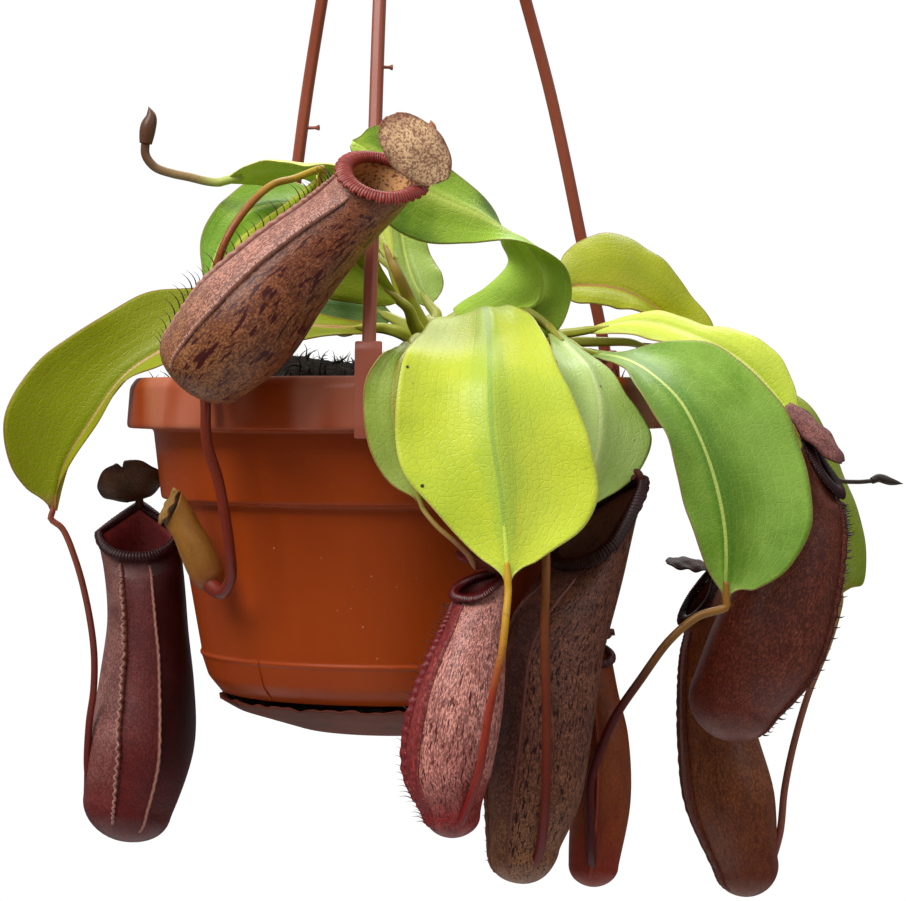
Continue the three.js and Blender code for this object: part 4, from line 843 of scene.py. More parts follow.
def stalk_skin():
    """Smooth yellow-green skin that is flushed with red in places."""
    finish = Finish("stalk_skin", specular=0.5, coat=0.2)
    flow = finish.noise(60.0, detail=3.0)
    red = finish.step(finish.noise(34.0, detail=4.0), 0.5, 0.66)
    colour = finish.mix(flow, (150, 160, 40), (188, 186, 66))
    colour = finish.tint(colour, (150, 90, 58), red, 0.75)
    fine = finish.noise(500.0, detail=3.0)
    return finish.done(colour, 0.38, fine, depth=0.00012)


crown = eased([
    (0.05, STEM_FOOT_Z), (STEM_R - 1, STEM_FOOT_Z), (STEM_R, STEM_FOOT_Z + 2), (STEM_R, 3), (5.2, 9),
    (3, 15), (0.05, 16.5)], radius=1.6)
crown_points = [
    (STEM_X + r * math.cos(t) * (1 + 0.07 * math.sin(3 * t + z * 0.5)), STEM_Y + r * math.sin(t), z)
    for r, z in crown for t in even_turns(CROWN_SIDES)]
stalks = [(crown_points, closed_faces(len(crown), CROWN_SIDES))]
for petiole, leaf in zip(PETIOLES, LEAVES):
    start, following = np.array(leaf["mid"][0]), np.array(leaf["mid"][1])
    ahead = unit(following - start)
    path = list(petiole) + [tuple(start + d * ahead) for d in (-3.5, 0.4, 5)]
    thinner = PETIOLE_END_R - PETIOLE_R
    stalks.append(closed_tube(
        path, lambda u: PETIOLE_R + thinner * min(1, u * 1.15) - 0.7 * smooth(0.86, 1, u),
        STALK_STEPS, STALK_SIDES, channelled))
stem = solid("stem_and_stalks", *gather(stalks), stalk_skin())
keep(stem, "stem", "stem")

# ---------------------------------------------------------------- leaves
# Fourteen leathery blades, glossy above, each with a sunken midrib that stands out below as a keel and
# runs on into the tendril. Their margins ripple and are edged with a thin pale or brownish line.
BLADE_T = 0.7
MARGIN_T = 0.34
LEAF_ROWS = 96
LEAF_COLUMNS = 37
KEEL_SIDES = 10
KEEL_DROP = 0.45  # how far the keel's middle lies below the middle of the blade
GROOVE_DEPTH = 0.45
GROOVE_HALF = 0.8
TIP_HALF = 0.75
USUAL_WAVE = 0.6  # how far a margin ripples, and how far a half of a blade is arched
USUAL_PUFF = 0.1
LEAF_LOOKS = (  # ground, second tone, zone beside the midrib, midrib, margin, width of the zone, specks
    ((138, 150, 2), (146, 158, 6), (134, 148, 4), (196, 150, 96), (150, 110, 40), 0.2, 0.2),
    ((208, 220, 56), (192, 210, 54), (182, 206, 66), (160, 190, 78), (198, 196, 96), 0.3, 0.7),
    ((180, 206, 112), (150, 180, 76), (186, 210, 120), (204, 220, 140), (160, 160, 80), 0.5, 0.7),
    ((104, 146, 30), (136, 176, 60), (90, 138, 20), (204, 222, 110), (164, 130, 84), 0.3, 0.4),
    ((164, 172, 2), (150, 160, 2), (172, 174, 14), (178, 136, 70), (144, 112, 44), 0.35, 0.2),
    ((214, 230, 74), (200, 218, 64), (204, 222, 76), (228, 236, 130), (206, 180, 100), 0.4, 0.2),
    ((160, 198, 50), (86, 130, 6), (190, 216, 84), (206, 226, 100), (134, 110, 50), 0.35, 0.1),
    ((222, 234, 110), (204, 222, 90), (222, 236, 120), (230, 240, 150), (190, 176, 100), 0.4, 0.0),
    ((104, 146, 24), (130, 166, 40), (110, 154, 28), (170, 198, 80), (144, 122, 60), 0.3, 0.1),
    ((168, 188, 40), (184, 198, 58), (158, 180, 40), (200, 204, 100), (166, 132, 60), 0.3, 0.1),
    ((158, 184, 82), (134, 164, 60), (160, 184, 84), (190, 204, 106), (144, 126, 60), 0.3, 0.0),
    ((96, 134, 58), (112, 146, 64), (98, 138, 56), (156, 176, 86), (124, 106, 50), 0.3, 0.0),
    ((146, 170, 62), (168, 188, 90), (150, 172, 66), (176, 170, 76), (154, 114, 54), 0.35, 0.1),
    ((118, 140, 6), (138, 156, 22), (122, 142, 10), (176, 136, 76), (146, 104, 44), 0.25, 0.3),
)


def rib_and_blade(leaf, number):
    """The middle surface of a blade as a grid of points, with its marks for the material."""
    rails = [Rail(leaf[side]) for side in ("left", "mid", "right")]
    matched = len({len(rail.points) for rail in rails}) == 1
    across = np.linspace(-1, 1, LEAF_COLUMNS)
    span = np.abs(across)
    grid, from_rib, to_edge = [], [], []
    wave = leaf.get("wave", USUAL_WAVE)
    puff = leaf.get("puff", USUAL_PUFF)
    phase = 1.7 * (number - 1)
    toward_viewer = 0.0
    for i in range(LEAF_ROWS + 1):
        u = i / LEAF_ROWS
        left, mid, right = (rail.at(u) if matched else rail.along(u) for rail in rails)
        ahead = unit(rails[1].along(min(1, u + 0.02)) - rails[1].along(max(0, u - 0.02)))
        square = float(smooth(0.07, 0, min(u, 1 - u)))
        edges = []
        for edge in (left, right):
            out = edge - mid
            out = out - ahead * np.dot(out, ahead) * square
            edges.append(mid + unit(out) * max(np.linalg.norm(out), TIP_HALF))
        left, right = edges
        normal = unit(np.cross(right - left, ahead))
        if i == LEAF_ROWS // 2:
            toward_viewer = 1.0 if np.dot(normal, np.array(EYE) - mid) > 0 else -1.0
        ripple = math.sin(2 * math.pi * 3.3 * u + phase) * wave * math.sin(math.pi * u)
        left, right = left + normal * ripple, right - normal * ripple
        row, near, far = [], [], []
        for v, w in zip(across, span):
            edge = left if v < 0 else right
            width = np.linalg.norm(edge - mid)
            frill = 0.3 * math.sin(math.pi * u) * w ** 6
            frill *= math.sin(2 * math.pi * 8.3 * u + (4 if v > 0 else 1))
            arch = puff * width * 4 * w * (1 - w)
            veins = 0.035 * math.sin(math.pi * u) * math.cos(2 * math.pi * 4 * w) * (1 - w ** 4)
            row.append(mid + (edge - mid) * w + normal * (arch + frill * wave + veins))
            near.append(width * w)
            far.append(width * (1 - w))
        grid.append(row)
        from_rib.append(near)
        to_edge.append(far)
    return np.array(grid), np.array(from_rib), np.array(to_edge), toward_viewer


def facing(grid):
    """The direction that a surface faces at each point of its grid."""
    normal = np.cross(np.gradient(grid, axis=1), np.gradient(grid, axis=0))
    return normal / np.maximum(np.linalg.norm(normal, axis=2, keepdims=True), 1e-9)


def sheet(grid, thickness):
    """Points and faces of a closed thin sheet about a grid of points, as thick as said at each."""
    rows, columns = grid.shape[:2]
    half = facing(grid) * (np.broadcast_to(thickness, (rows, columns))[..., None] / 2)
    points = np.concatenate([(grid + half).reshape(-1, 3), (grid - half).reshape(-1, 3)])
    size = rows * columns
    faces = []
    for i in range(rows - 1):
        for j in range(columns - 1):
            a = i * columns + j
            faces.append((a, a + 1, a + columns + 1, a + columns))
            faces.append((size + a, size + a + columns, size + a + columns + 1, size + a + 1))
    border = list(range(columns - 1)) + [i * columns + columns - 1 for i in range(rows - 1)]
    border += [(rows - 1) * columns + j for j in range(columns - 1, 0, -1)]
    border += [i * columns for i in range(rows - 1, 0, -1)]
    faces += [(a, a + size, b + size, b) for a, b in zip(border, border[1:] + border[:1])]
    return points, faces


def shade_of(colour, share, plus=0):
    """A lighter or darker shade of a colour, both as screen values."""
    return tuple(min(255, int(c * share + plus)) for c in colour)


def leaf_skin(number, ground, second, zone, rib, margin, zone_width, specks):
    """Leaf tissue: a mottled ground, a zone beside the midrib, long veins, a fine net and the margin."""
    finish = Finish(f"leaf_skin_{number}", specular=0.3, coat=0.12, coat_roughness=0.3)
    across = finish.attribute("across")
    along = finish.attribute("along")
    near = finish.attribute("from_rib")
    far = finish.attribute("to_edge")
    under = finish.attribute("under")
    broad = finish.noise(46.0, detail=3.0)
    colour = finish.mix(finish.step(broad, 0.36, 0.66), ground, second)
    beside = finish.calc("ADD", across, finish.calc("MULTIPLY_ADD", finish.noise(110.0), 0.24, -0.12))
    beside = finish.times(finish.step(beside, zone_width, zone_width * 0.3), 0.85)
    colour = finish.mix(beside, colour, zone)
    vein = finish.calc("PINGPONG", finish.calc("ADD", across, 0.06), 0.0625)
    vein = finish.times(finish.step(vein, 0.012, 0.002), finish.step(across, 1.0, 0.85))
    colour = finish.tint(colour, rib, vein, 0.07)
    net = finish.step(finish.cells(620.0, "DISTANCE_TO_EDGE"), 0.12, 0.02)
    colour = finish.tint(colour, rib, net, 0.07)
    rib_wide = finish.calc("MULTIPLY_ADD", along, -0.2, 0.75)
    stripe = finish.step(finish.calc("DIVIDE", near, rib_wide), 1.15, 0.75)
    colour = finish.tint(colour, rib, stripe, 0.9)
    ends = finish.step(finish.calc("PINGPONG", along, 0.5), 0.06, 0.0)
    colour = finish.tint(colour, rib, ends, 0.5)
    if specks:
        spots = finish.step(finish.cells(150.0), 0.1, 0.05)
        some = finish.step(finish.noise(70.0, detail=1.0), 0.66 - 0.08 * specks, 0.7 - 0.08 * specks)
        colour = finish.tint(colour, (42, 34, 22), spots, some)
    edge = finish.calc("ADD", far, finish.times(finish.noise(260.0), 0.4))
    edge = finish.step(edge, 0.62, 0.42)
    colour = finish.tint(colour, margin, edge, 0.75)
    pale = shade_of(ground, 1, 34)
    colour = finish.tint(colour, pale, under, 0.55)
    gloss = finish.calc("MULTIPLY_ADD", finish.noise(160.0), 0.18, 0.3)
    gloss = finish.calc("MULTIPLY_ADD", under, 0.15, gloss)
    fine = finish.noise(1500.0, detail=2.0)
    height = finish.calc("ADD", finish.times(fine, 0.35), finish.times(net, -0.35))
    height = finish.calc("SUBTRACT", height, finish.times(vein, 0.25))
    return finish.done(colour, gloss, height, depth=0.00016, strength=0.7)


def make_leaf(number, leaf, looks):
    """One blade: a thin sheet grooved above its midrib, and the keel that stands out below."""
    grid, near, far, upper = rib_and_blade(leaf, number)
    groove = GROOVE_DEPTH * np.exp(-(near / GROOVE_HALF) ** 2)
    normal = facing(grid)
    grid = grid - normal * (groove * upper)[..., None]
    thickness = MARGIN_T + (BLADE_T - MARGIN_T) * smooth(0, 2.5, far)
    points, faces = sheet(grid, thickness)
    size = grid.shape[0] * grid.shape[1]
    across = np.tile(np.abs(np.linspace(-1, 1, LEAF_COLUMNS)), LEAF_ROWS + 1)
    along = np.repeat(np.linspace(0, 1, LEAF_ROWS + 1), LEAF_COLUMNS)
    keel_path = grid[::6, LEAF_COLUMNS // 2] - normal[::6, LEAF_COLUMNS // 2] * upper * KEEL_DROP
    keel, keel_faces = closed_tube(
        [tuple(p) for p in keel_path], lambda u: 0.95 - 0.35 * math.sin(math.pi * u), LEAF_ROWS,
        KEEL_SIDES, start=len(points))
    count = len(keel)
    marks = {
        "across": np.concatenate([across, across, np.zeros(count)]),
        "along": np.concatenate([along, along, np.repeat(np.linspace(0, 1, LEAF_ROWS + 1), KEEL_SIDES)]),
        "from_rib": np.concatenate([near.ravel(), near.ravel(), np.zeros(count)]),
        "to_edge": np.concatenate([far.ravel(), far.ravel(), np.full(count, 9.0)]),
        "under": np.concatenate([np.full(size, float(upper < 0)), np.full(size, float(upper > 0)),
                                 np.ones(count)]),
    }
    piece = solid(f"leaf_blade_{number}", np.concatenate([points, keel]), faces + keel_faces,
                  leaf_skin(number, *looks), **marks)
    return keep(piece, leaf["slot"], f"leaf_{number}")


for number, (leaf, looks) in enumerate(zip(LEAVES, LEAF_LOOKS), 1):
    make_leaf(number, leaf, looks)

# ---------------------------------------------------------------- pitchers
# Each pitcher is the hollow end of its leaf's tendril: a cup rounded at the foot, narrower at the waist,
# speckled and streaked with dark red, mostly with two low fringed wings up its front. One is still shut.
WALL = 1.0
SHUT_PITCHER = 3
FLOW_R = 0.01  # metres; the patterns run round and up a cup as if it were a plain tube of this radius
CUP_ROWS = 84
CUP_SIDES = 72
INNER_ROWS = 30
INNER_DEPTH = 2.5  # how far down the inside of the mouth is made, counted in points of the axis; a floor painted dark as shade closes it there
LIP_RISE = 0.18  # how far the middle of the wall's edge stands up
WING_HEIGHT = 2.2
WING_ROOT = 0.8
WING_FOOT = 0.45  # how far up the axis the wings begin, and how far below the mouth they stop
WING_STOP = 0.3
WING_STEPS = 240
WING_THICK = (1.1, 0.8, 0.4)  # at the root, halfway and at the crest
PITCHERS = (
    dict(leaf=10, ring=1, neck=1.5, span=(8.2, 9), wings=(-0.1, 1.1),
         normal=(0.25, -0.62, 0.74), back=(0.92, -0.08, -0.38),
         lid=dict(ahead=(-0.34, -0.1, 0.94), face=(0.3, -0.95, 0.03), length=18, width=14.5, bend=1.5,
                  neck=3),
         axis=((-50.2, -70, -3, 0), (-45.4, -71, 2.6, 11.5), (-36, -72, 11.7, 13.4),
             (-26.6, -73, 22.4, 11.5), (-16.3, -75, 32.3, 9.2), (-8.8, -77, 39.6, 8.1),
             (-4.2, -79, 44.3, 8.3)),
         tendril=((-25, -46, 48), (-30.4, -52, 45.8), (-36, -57, 40), (-40.6, -60, 32.6),
             (-43.2, -60, 25.4), (-45.5, -57.5, 16.5), (-48.6, -57.5, 7), (-48, -66, 0.5))),
    dict(leaf=1, ring=1, neck=3, span=(10.6, 8.5), wings=(-0.45, 0.3),
         normal=(0, -0.66, 0.75), back=(0, 0.75, 0.66),
         lid=dict(ahead=(-0.3, -0.66, 0.72), face=(-0.1, 0.66, 0.74), length=14, width=17.5, bend=-2),
         axis=((-74.6, 12, -122, 0), (-71.8, 13, -113, 11.9), (-68.4, 14, -97.2, 14.2),
             (-66.7, 15, -80, 12.5), (-66.4, 15, -64, 10.6), (-67.7, 15, -48.2, 10.4),
             (-68.8, 15, -42, 10.6)),
         tendril=((-85.8, -11, -38.5), (-82.7, -9, -46.5), (-80.3, -5, -57.6), (-79, 0, -70.7),
             (-79.4, 3, -81), (-81, 6, -91), (-81.6, 9, -104.6), (-79.4, 11, -114.3), (-74.6, 12, -118.3))),
    dict(leaf=9, ring=0, neck=0.4, span=(3.2, 4.6), wings=(),
         normal=(-0.85, -0.3, 0.45), back=(0.45, 0, 0.85),
         lid=dict(ahead=(-0.46, 0, -0.88), face=(-0.85, -0.3, 0.45), length=9, width=6.6, bend=0.5),
         axis=((-44.9, -40, -52.4, 0), (-46.9, -40, -48.2, 4.2), (-49.6, -40, -42, 4.2),
             (-52.5, -40, -36.5, 3.5), (-55, -40, -32.3, 3.3)),
         tendril=((-48, -34, 11.6), (-47, -54, 1.4), (-45.9, -57.5, -6.8), (-45.6, -58, -15.6),
             (-43, -56, -25), (-41.5, -55, -33.4), (-40.4, -53, -42.4), (-40.4, -50, -48.8),
             (-42.8, -46, -52.5), (-46.4, -41, -50.6))),
    dict(leaf=2, ring=0.75, neck=1.6, span=(5.6, 6.4), wings=(-0.2, 0.7),
         normal=(-0.25, -0.35, 0.9), back=(0.9, 0, 0.3),
         lid=dict(ahead=(-0.9, -0.2, 0.28), face=(0.25, -0.3, 0.92), length=11, width=10, bend=1),
         axis=((12.6, -75, -107.9, 0), (12.6, -75, -102.4, 6.5), (12, -75, -92, 10),
             (14.4, -75, -76.8, 10.1), (17.5, -74, -63, 7.9), (19, -73, -54, 6.6), (19.2, -72, -50.5, 6.5)),
         tendril=((24.6, -88, -55.3), (23.7, -89, -63), (22, -89.5, -70.4), (20.2, -88.5, -80.2),
             (18.7, -86.5, -90), (16.4, -83.2, -98.4), (14.2, -79.8, -104), (12.8, -75.4, -106))),
    dict(leaf=3, ring=1.15, neck=4, span=(9.5, 11.5), wings=(-0.1, 0.75),
         normal=(-0.4, -0.5, 0.77), back=(0.75, 0.2, 0.62),
         lid=dict(ahead=(-0.85, 0, 0.5), face=(0.3, -0.9, 0.3), length=12, width=9, bend=1),
         axis=((30.6, -58, -121.6, 0), (30, -58, -113.3, 8.6), (32.5, -58, -99, 11.6),
             (35.3, -58, -80, 11.9), (37.8, -57, -64.4, 11.7), (43.2, -55, -49, 11.3),
             (47.4, -53, -39, 10.8)),
         tendril=((34.6, -72, -42), (34.5, -73.5, -48), (34.2, -73.5, -59), (34.7, -73, -78.8),
             (34.6, -71.5, -98.5), (33.6, -67.2, -111.6), (31.8, -63.2, -117.4), (30.7, -58.6, -119.6))),
    dict(leaf=4, ring=0.6, neck=1.5, span=(4.8, 5.4), wings=(0,),
         normal=(0.1, -0.25, 0.95), back=(0.2, 0.95, 0.2),
         lid=dict(ahead=(0, -0.92, 0.38), face=(0, 0.38, 0.92), length=9, width=8, bend=0.5),
         axis=((48, -38, -126, 0), (48.3, -38, -120.2, 6.2), (50, -38, -104.8, 7.3),
             (50.2, -38, -88.7, 6.6), (49, -38, -77, 5.4), (48, -38, -70, 5.2)),
         tendril=((73, -48, -58.4), (66.2, -48, -64), (59, -48, -73.7), (52.7, -48, -83),
             (48.7, -47.5, -92.4), (46.8, -47, -99.2), (46.8, -46.5, -107), (47.3, -44.6, -117.3),
             (47.7, -41.6, -122), (48, -38.4, -124.2))),
    dict(leaf=6, ring=1, neck=3, span=(7.2, 8), wings=(-0.35, 0.35),
         normal=(0.7, -0.25, 0.65), back=(-0.6, 0, 0.7),
         lid=dict(ahead=(0.68, -0.12, -0.72), face=(0.6, -0.5, 0.62), length=20, width=13, bend=1,
                  neck=10),
         axis=((80.8, -16, -91.7, 0), (85.7, -16, -82, 11.5), (93.4, -17, -68, 14.2), (100.5, -18, -50, 12),
             (104.3, -19, -37.4, 9.4), (105.6, -20, -28.5, 8.2), (105.8, -20, -24, 7.6)),
         tendril=((107.6, -3, -26), (109, 0, -40), (108.4, 0.5, -56), (104, 1.5, -72), (95, 1, -86),
             (87, -7, -90.5), (84, -13, -86))),
    dict(leaf=14, ring=0.85, neck=2, span=(6.8, 8), wings=(-0.35, 0.35),
         normal=(-0.7, -0.2, 0.6), back=(0.55, 0.1, 0.83),
         lid=dict(ahead=(-1, -0.1, 0.12), face=(0.12, -0.3, 0.95), length=11.5, width=9, bend=1),
         axis=((94.9, 14, -137.7, 0), (92.8, 14, -129.8, 8.5), (88.6, 14, -111.8, 11.7),
             (85.2, 14, -94.5, 10.2), (83.6, 14, -80, 8.8), (82.4, 14, -66.7, 8), (81.6, 14, -59, 7.8)),
         tendril=((116, 20, -69.8), (109.6, 16, -84), (105.4, 14, -97.2), (103, 14, -109),
             (101.4, 14, -122.4), (97.5, 14, -132), (94, 14, -133))),
)
CUP_LOOKS = (  # right of the wings, between, left of them (the two side colours also hold painted shade on a cup's darker side), foot, marks, inside, dashes, speckle, crests
    ((148, 86, 50), (206, 146, 126), (118, 38, 32), (158, 104, 60), (66, 18, 18), (214, 160, 108),
     (0.9, 1150.0), 0.66, (200, 146, 128)),
    ((44, 10, 10), (112, 50, 46), (158, 108, 100), (104, 20, 18), (62, 14, 16), (190, 86, 86),
     (0.2, 1300.0), 0.55, (178, 126, 112)),
    ((154, 104, 36), (156, 108, 38), (154, 104, 36), (134, 68, 30), (120, 70, 30), (150, 90, 60),
     (0.1, 1200.0), 0.35, (166, 118, 50)),
    ((228, 156, 142), (156, 62, 60), (126, 38, 40), (150, 10, 16), (70, 10, 12), (110, 34, 34),
     (0.8, 2300.0), 0.62, (112, 20, 26)),
    ((136, 84, 62), (130, 86, 76), (116, 68, 62), (168, 112, 74), (44, 14, 13), (120, 66, 48),
     (0.9, 2100.0), 0.6, (124, 72, 62)),
    ((140, 66, 22), (124, 44, 18), (124, 44, 18), (140, 36, 22), (84, 26, 14), (150, 84, 50),
     (0.3, 1300.0), 0.3, (146, 56, 32)),
    ((142, 74, 46), (150, 84, 60), (126, 62, 44), (126, 56, 38), (44, 10, 12), (150, 84, 60),
     (0.9, 1500.0), 0.6, (70, 16, 18)),
    ((148, 82, 42), (132, 66, 38), (112, 48, 30), (120, 54, 30), (56, 16, 13), (120, 60, 44),
     (0.4, 1400.0), 0.5, (98, 42, 32)),
)
WING_LOOKS = (  # for each wing, its height as a share of the full one, and how frilled it is
    ((0.75, 0.5), (0.7, 0.3)), ((1.0, 1.6), (0.5, 0.5)), (), ((0.9, 0.8), (0.45, 0.4)),
    ((0.6, 0.4), (0.22, 0.2)), ((0.45, 0.3),), ((0.7, 0.4), (0.8, 0.6)), ((0.45, 0.3), (0.6, 0.3)),
)
FRINGES = (  # pitcher, wing, length and foot radius of the bristles, one at every so many points
    (1, 0, 4.6, 0.2, 6), (1, 1, 1.2, 0.1, 4), (2, 0, 0.6, 0.1, 5), (4, 0, 2.6, 0.14, 5),
    (5, 0, 0.7, 0.1, 8), (6, 0, 0.5, 0.1, 9), (7, 0, 1.8, 0.3, 6), (7, 1, 2.1, 0.34, 5),
    (8, 1, 0.9, 0.12, 8),
)
FRINGE_SKIPS = (6, 12)  # how many points of a crest carry no bristle at its foot and at its top
LEFT_EDGE = {1: 0.16}  # how far the colour left of the wings, painted shade included, reaches in between them
INNER_SPOTS = {1: 0.8}  # how strong the spots inside the mouth are, where that isn't 0.35
MOUTH_PINCH = {2: 0.85, 4: 0.3, 5: 0.45, 7: 0.3, 8: 0.3}  # how far the back of a mouth narrows to a point
MOUTH_SPUR = {5: 6.0}  # how far the back of the rim is drawn out
TENDRIL_STEPS = 110
TENDRIL_SIDES = 14
TENDRIL_START = (-4.0, 0.65, 2.25)  # points in line with the midrib, before and past the leaf's tip
HEAD_STEPS = 40
TENDRIL_LOOKS = (  # at the leaf's tip, halfway, and at the pitcher
    ((190, 160, 40), (150, 78, 34), (104, 34, 24)),
    ((150, 80, 60), (122, 44, 34), (96, 24, 22)),
    ((150, 126, 44), (124, 44, 24), (112, 36, 22)),
    ((206, 158, 40), (150, 52, 36), (120, 20, 24)),
    ((150, 90, 40), (108, 44, 26), (100, 26, 22)),
    ((150, 104, 40), (84, 30, 26), (76, 24, 22)),
    ((170, 150, 60), (128, 62, 40), (88, 32, 28)),
    ((150, 120, 60), (140, 84, 66), (150, 84, 74)),
)
TENDRIL_HALF = (0.85, 0.8, 1.2, 0.85, 1.0, 1.0, 1.1, 0.85)  # half the thickness of each
TENDRIL_END = {4: -0.6, 5: -0.7, 6: -0.7}  # what the last tenth adds to it, where that isn't 0.8


class Cup:
    """The form of one pitcher: rings about its axis that turn into the plane of the mouth."""

    def __init__(self, pitcher, pinch, spur):
        self.pitcher = pitcher
        self.pinch = pinch
        self.spur = spur
        axis = np.array(pitcher["axis"], float)
        self.rail = Rail(axis[:, :3])
        self.radii = axis[:, 3]
        self.last = len(axis) - 1
        self.normal = unit(np.array(pitcher["normal"], float))
        back = np.array(pitcher["back"], float)
        self.back = unit(back - self.normal * np.dot(back, self.normal))
        self.side = np.cross(self.normal, self.back)
        self.centre = axis[-1, :3]
        self.slopes = np.gradient(self.radii)
        self.slopes[1] *= 0.35

    def heading(self, low, high):
        """The direction of the axis between two shares of it."""
        return unit(self.rail.at(min(1, high)) - self.rail.at(max(0, low)))

    def narrowed(self, turns):
        """Share of the width that the mouth keeps at each turn."""
        fold = np.abs((turns + np.pi) % (2 * np.pi) - np.pi)
        pointed = np.where(fold < np.pi / 2, np.tan(fold / 2), 1.0)
        return 1 + (pointed - 1) * self.pinch

    def radius(self, s):
        """The cup's half width at a place on the axis, counted in points of the axis."""
        k = min(self.last - 1, int(s))
        f = s - k
        r0, r1 = self.radii[k], self.radii[k + 1]
        if k == 0:
            return r1 * math.sqrt(1 - (1 - f) ** 2)
        m0, m1 = self.slopes[k], self.slopes[k + 1]
        return ((2 * f ** 3 - 3 * f ** 2 + 1) * r0 + (f ** 3 - 2 * f ** 2 + f) * m0
                + (3 * f ** 2 - 2 * f ** 3) * r1 + (f ** 3 - f ** 2) * m1)

    def ring(self, s, inset, turns):
        """Points round the cup at a place on the axis, drawn in by the inset."""
        u = min(1, s / self.last)
        turned_in = float(smooth(0.6, 1, u))
        tangent = self.heading(u - 1e-4, u + 1e-4)
        normal = unit(tangent + (self.normal - tangent) * turned_in)
        back = unit(self.back - normal * np.dot(self.back, normal))
        side = np.cross(normal, back)
        radius = self.radius(s) - inset
        spread = [radius + (span - inset - radius) * turned_in for span in self.pitcher["span"]]
        rise = self.pitcher["neck"] * turned_in ** 2 * ((1 + np.cos(turns)) / 2) ** 2
        keep_width = 1 + (self.narrowed(turns) - 1) * turned_in ** 3
        drawn_out = self.spur * turned_in ** 3 * ((1 + np.cos(turns)) / 2) ** 4
        uneven = 1 + 0.012 * math.sin(2.1 * s) * np.sin(3 * turns + s) + 0.006 * np.sin(7 * turns + 2.3 * s)
        return (self.rail.at(u) + np.outer(spread[1] * np.cos(turns) * uneven + drawn_out, back)
                + np.outer(spread[0] * np.sin(turns) * uneven * keep_width, side)
                + np.outer(rise, self.normal))

    def rim(self, turns, out, up):
        """Points on the edge of the mouth, out from the middle of the wall and up from it."""
        turns = np.asarray(turns, float)
        across, along = self.pitcher["span"]
        rise = self.pitcher["neck"] * ((1 + np.cos(turns)) / 2) ** 2
        drawn_out = self.spur * ((1 + np.cos(turns)) / 2) ** 4
        return (self.centre + np.outer((along - WALL / 2 + out) * np.cos(turns) + drawn_out, self.back)
                + np.outer((across * self.narrowed(turns) - WALL / 2 + out) * np.sin(turns), self.side)
                + np.outer(rise + up, self.normal))


def pitcher_skin(number, wings, right, between, left, foot, dark, inner, dashes, speckle, crests):
    """Mottled ground by side of the wings, whose side colours also hold painted shade on a cup's darker
    side, a tinted foot, fine speckles, dark dashes up the cup, and painted shade deep inside the mouth.
    """
    finish = Finish(f"pitcher_skin_{number}", specular=0.3, coat=0.06, coat_roughness=0.3)
    flow = finish.attribute("flow", "Vector")
    turn = finish.attribute("turn")
    height = finish.attribute("height")
    inside = finish.attribute("inside")
    crest = finish.attribute("crest")
    blotch = finish.noise(110.0, flow, detail=4.0)
    # the colours right and left of the wings are the cup's own, with painted shade on the side that is
    # turned from the light
    colour = right
    if len(wings) == 2:
        colour = finish.mix(finish.step(turn, wings[1] + 0.04, wings[1] - 0.04), colour, between)
        edge = wings[0] + LEFT_EDGE.get(number, 0.0)
        colour = finish.mix(finish.step(turn, edge + 0.03, edge - 0.06), colour, left)
    fine = finish.noise(2900.0, flow, detail=3.0, stretch=(1.0, 1.0, 0.6))
    patchy = finish.calc("MULTIPLY_ADD", finish.noise(330.0, flow, detail=3.0), 0.3, -0.15)
    fine = finish.calc("ADD", fine, patchy)
    colour = finish.tint(colour, shade_of(right, 1.2, 26), finish.step(fine, 0.36, 0.28), 0.45)
    colour = finish.tint(colour, shade_of(between, 0.7), finish.step(blotch, 0.62, 0.36), 0.35)
    low = finish.step(finish.calc("ADD", height, finish.times(blotch, 0.2)), 0.56, 0.24)
    colour = finish.tint(colour, foot, low, 0.85)
    colour = finish.tint(colour, dark, finish.step(fine, 0.42, 0.54), speckle)
    amount, scale = dashes
    strokes = finish.noise(scale, flow, detail=2.0, stretch=(1.0, 1.0, 0.26))
    strokes = finish.step(strokes, 0.62 - 0.07 * amount, 0.68 - 0.07 * amount)
    calm = finish.step(turn, wings[1] - 0.05, wings[1] + 0.05) if len(wings) == 2 else 1.0
    calm = finish.calc("MULTIPLY_ADD", calm, 0.75, 0.25)
    strokes = finish.times(finish.times(strokes, calm), min(1.0, amount + 0.1))
    colour = finish.mix(strokes, colour, dark)
    spots = finish.noise(820.0, flow, detail=4.0)
    spots = finish.times(finish.step(spots, 0.5, 0.62), INNER_SPOTS.get(number, 0.35))
    inside_colour_and_depth_shade = finish.mix(spots, inner, dark)
    # painted shade: the inside darkens towards the floor that closes it, as if in the depth of the cup
    inside_colour_and_depth_shade = finish.mix(finish.step(height, 0.98, 0.6), inside_colour_and_depth_shade, (44, 18, 14))
    colour = finish.mix(inside, colour, inside_colour_and_depth_shade)
    colour = finish.tint(colour, crests, crest, 0.85)
    rough = finish.calc("MULTIPLY_ADD", finish.noise(300.0, flow), 0.2, 0.32)
    skin = finish.calc("ADD", finish.times(fine, 0.6), finish.noise(420.0, flow))
    return finish.done(colour, rough, skin, depth=0.00022)


def wing_grid(cup, angle, tall, frilled):
    """A wing as rows from its root to its uneven crest, with the crest's outward directions."""
    rows, outs = [], []
    for i in range(WING_STEPS + 1):
        share = i / WING_STEPS
        s = WING_FOOT + (cup.last - WING_FOOT - WING_STOP) * i / WING_STEPS
        foot = cup.ring(s, 0, np.array([math.pi + angle]))[0]
        out = unit(foot - cup.rail.at(min(1, s / cup.last)))
        height = WING_HEIGHT * tall * math.sin(math.pi * min(1, 0.01 + share * 0.95)) ** 0.6
        height *= 0.88 + 0.12 * math.sin(158 * share) * math.sin(23 * share + 1)
        along = cup.heading(s / cup.last - 0.02, s / cup.last)
        sway = np.cross(out, along) * frilled * (0.12 * math.sin(41 * share) + 0.26 * math.sin(226 * share))
        crest = foot + out * height + sway
        rows.append([foot - out * WING_ROOT, foot + out * height * 0.5 + sway * 0.4, crest])
        outs.append((crest, unit(out + along * 0.35)))
    return np.array(rows), outs


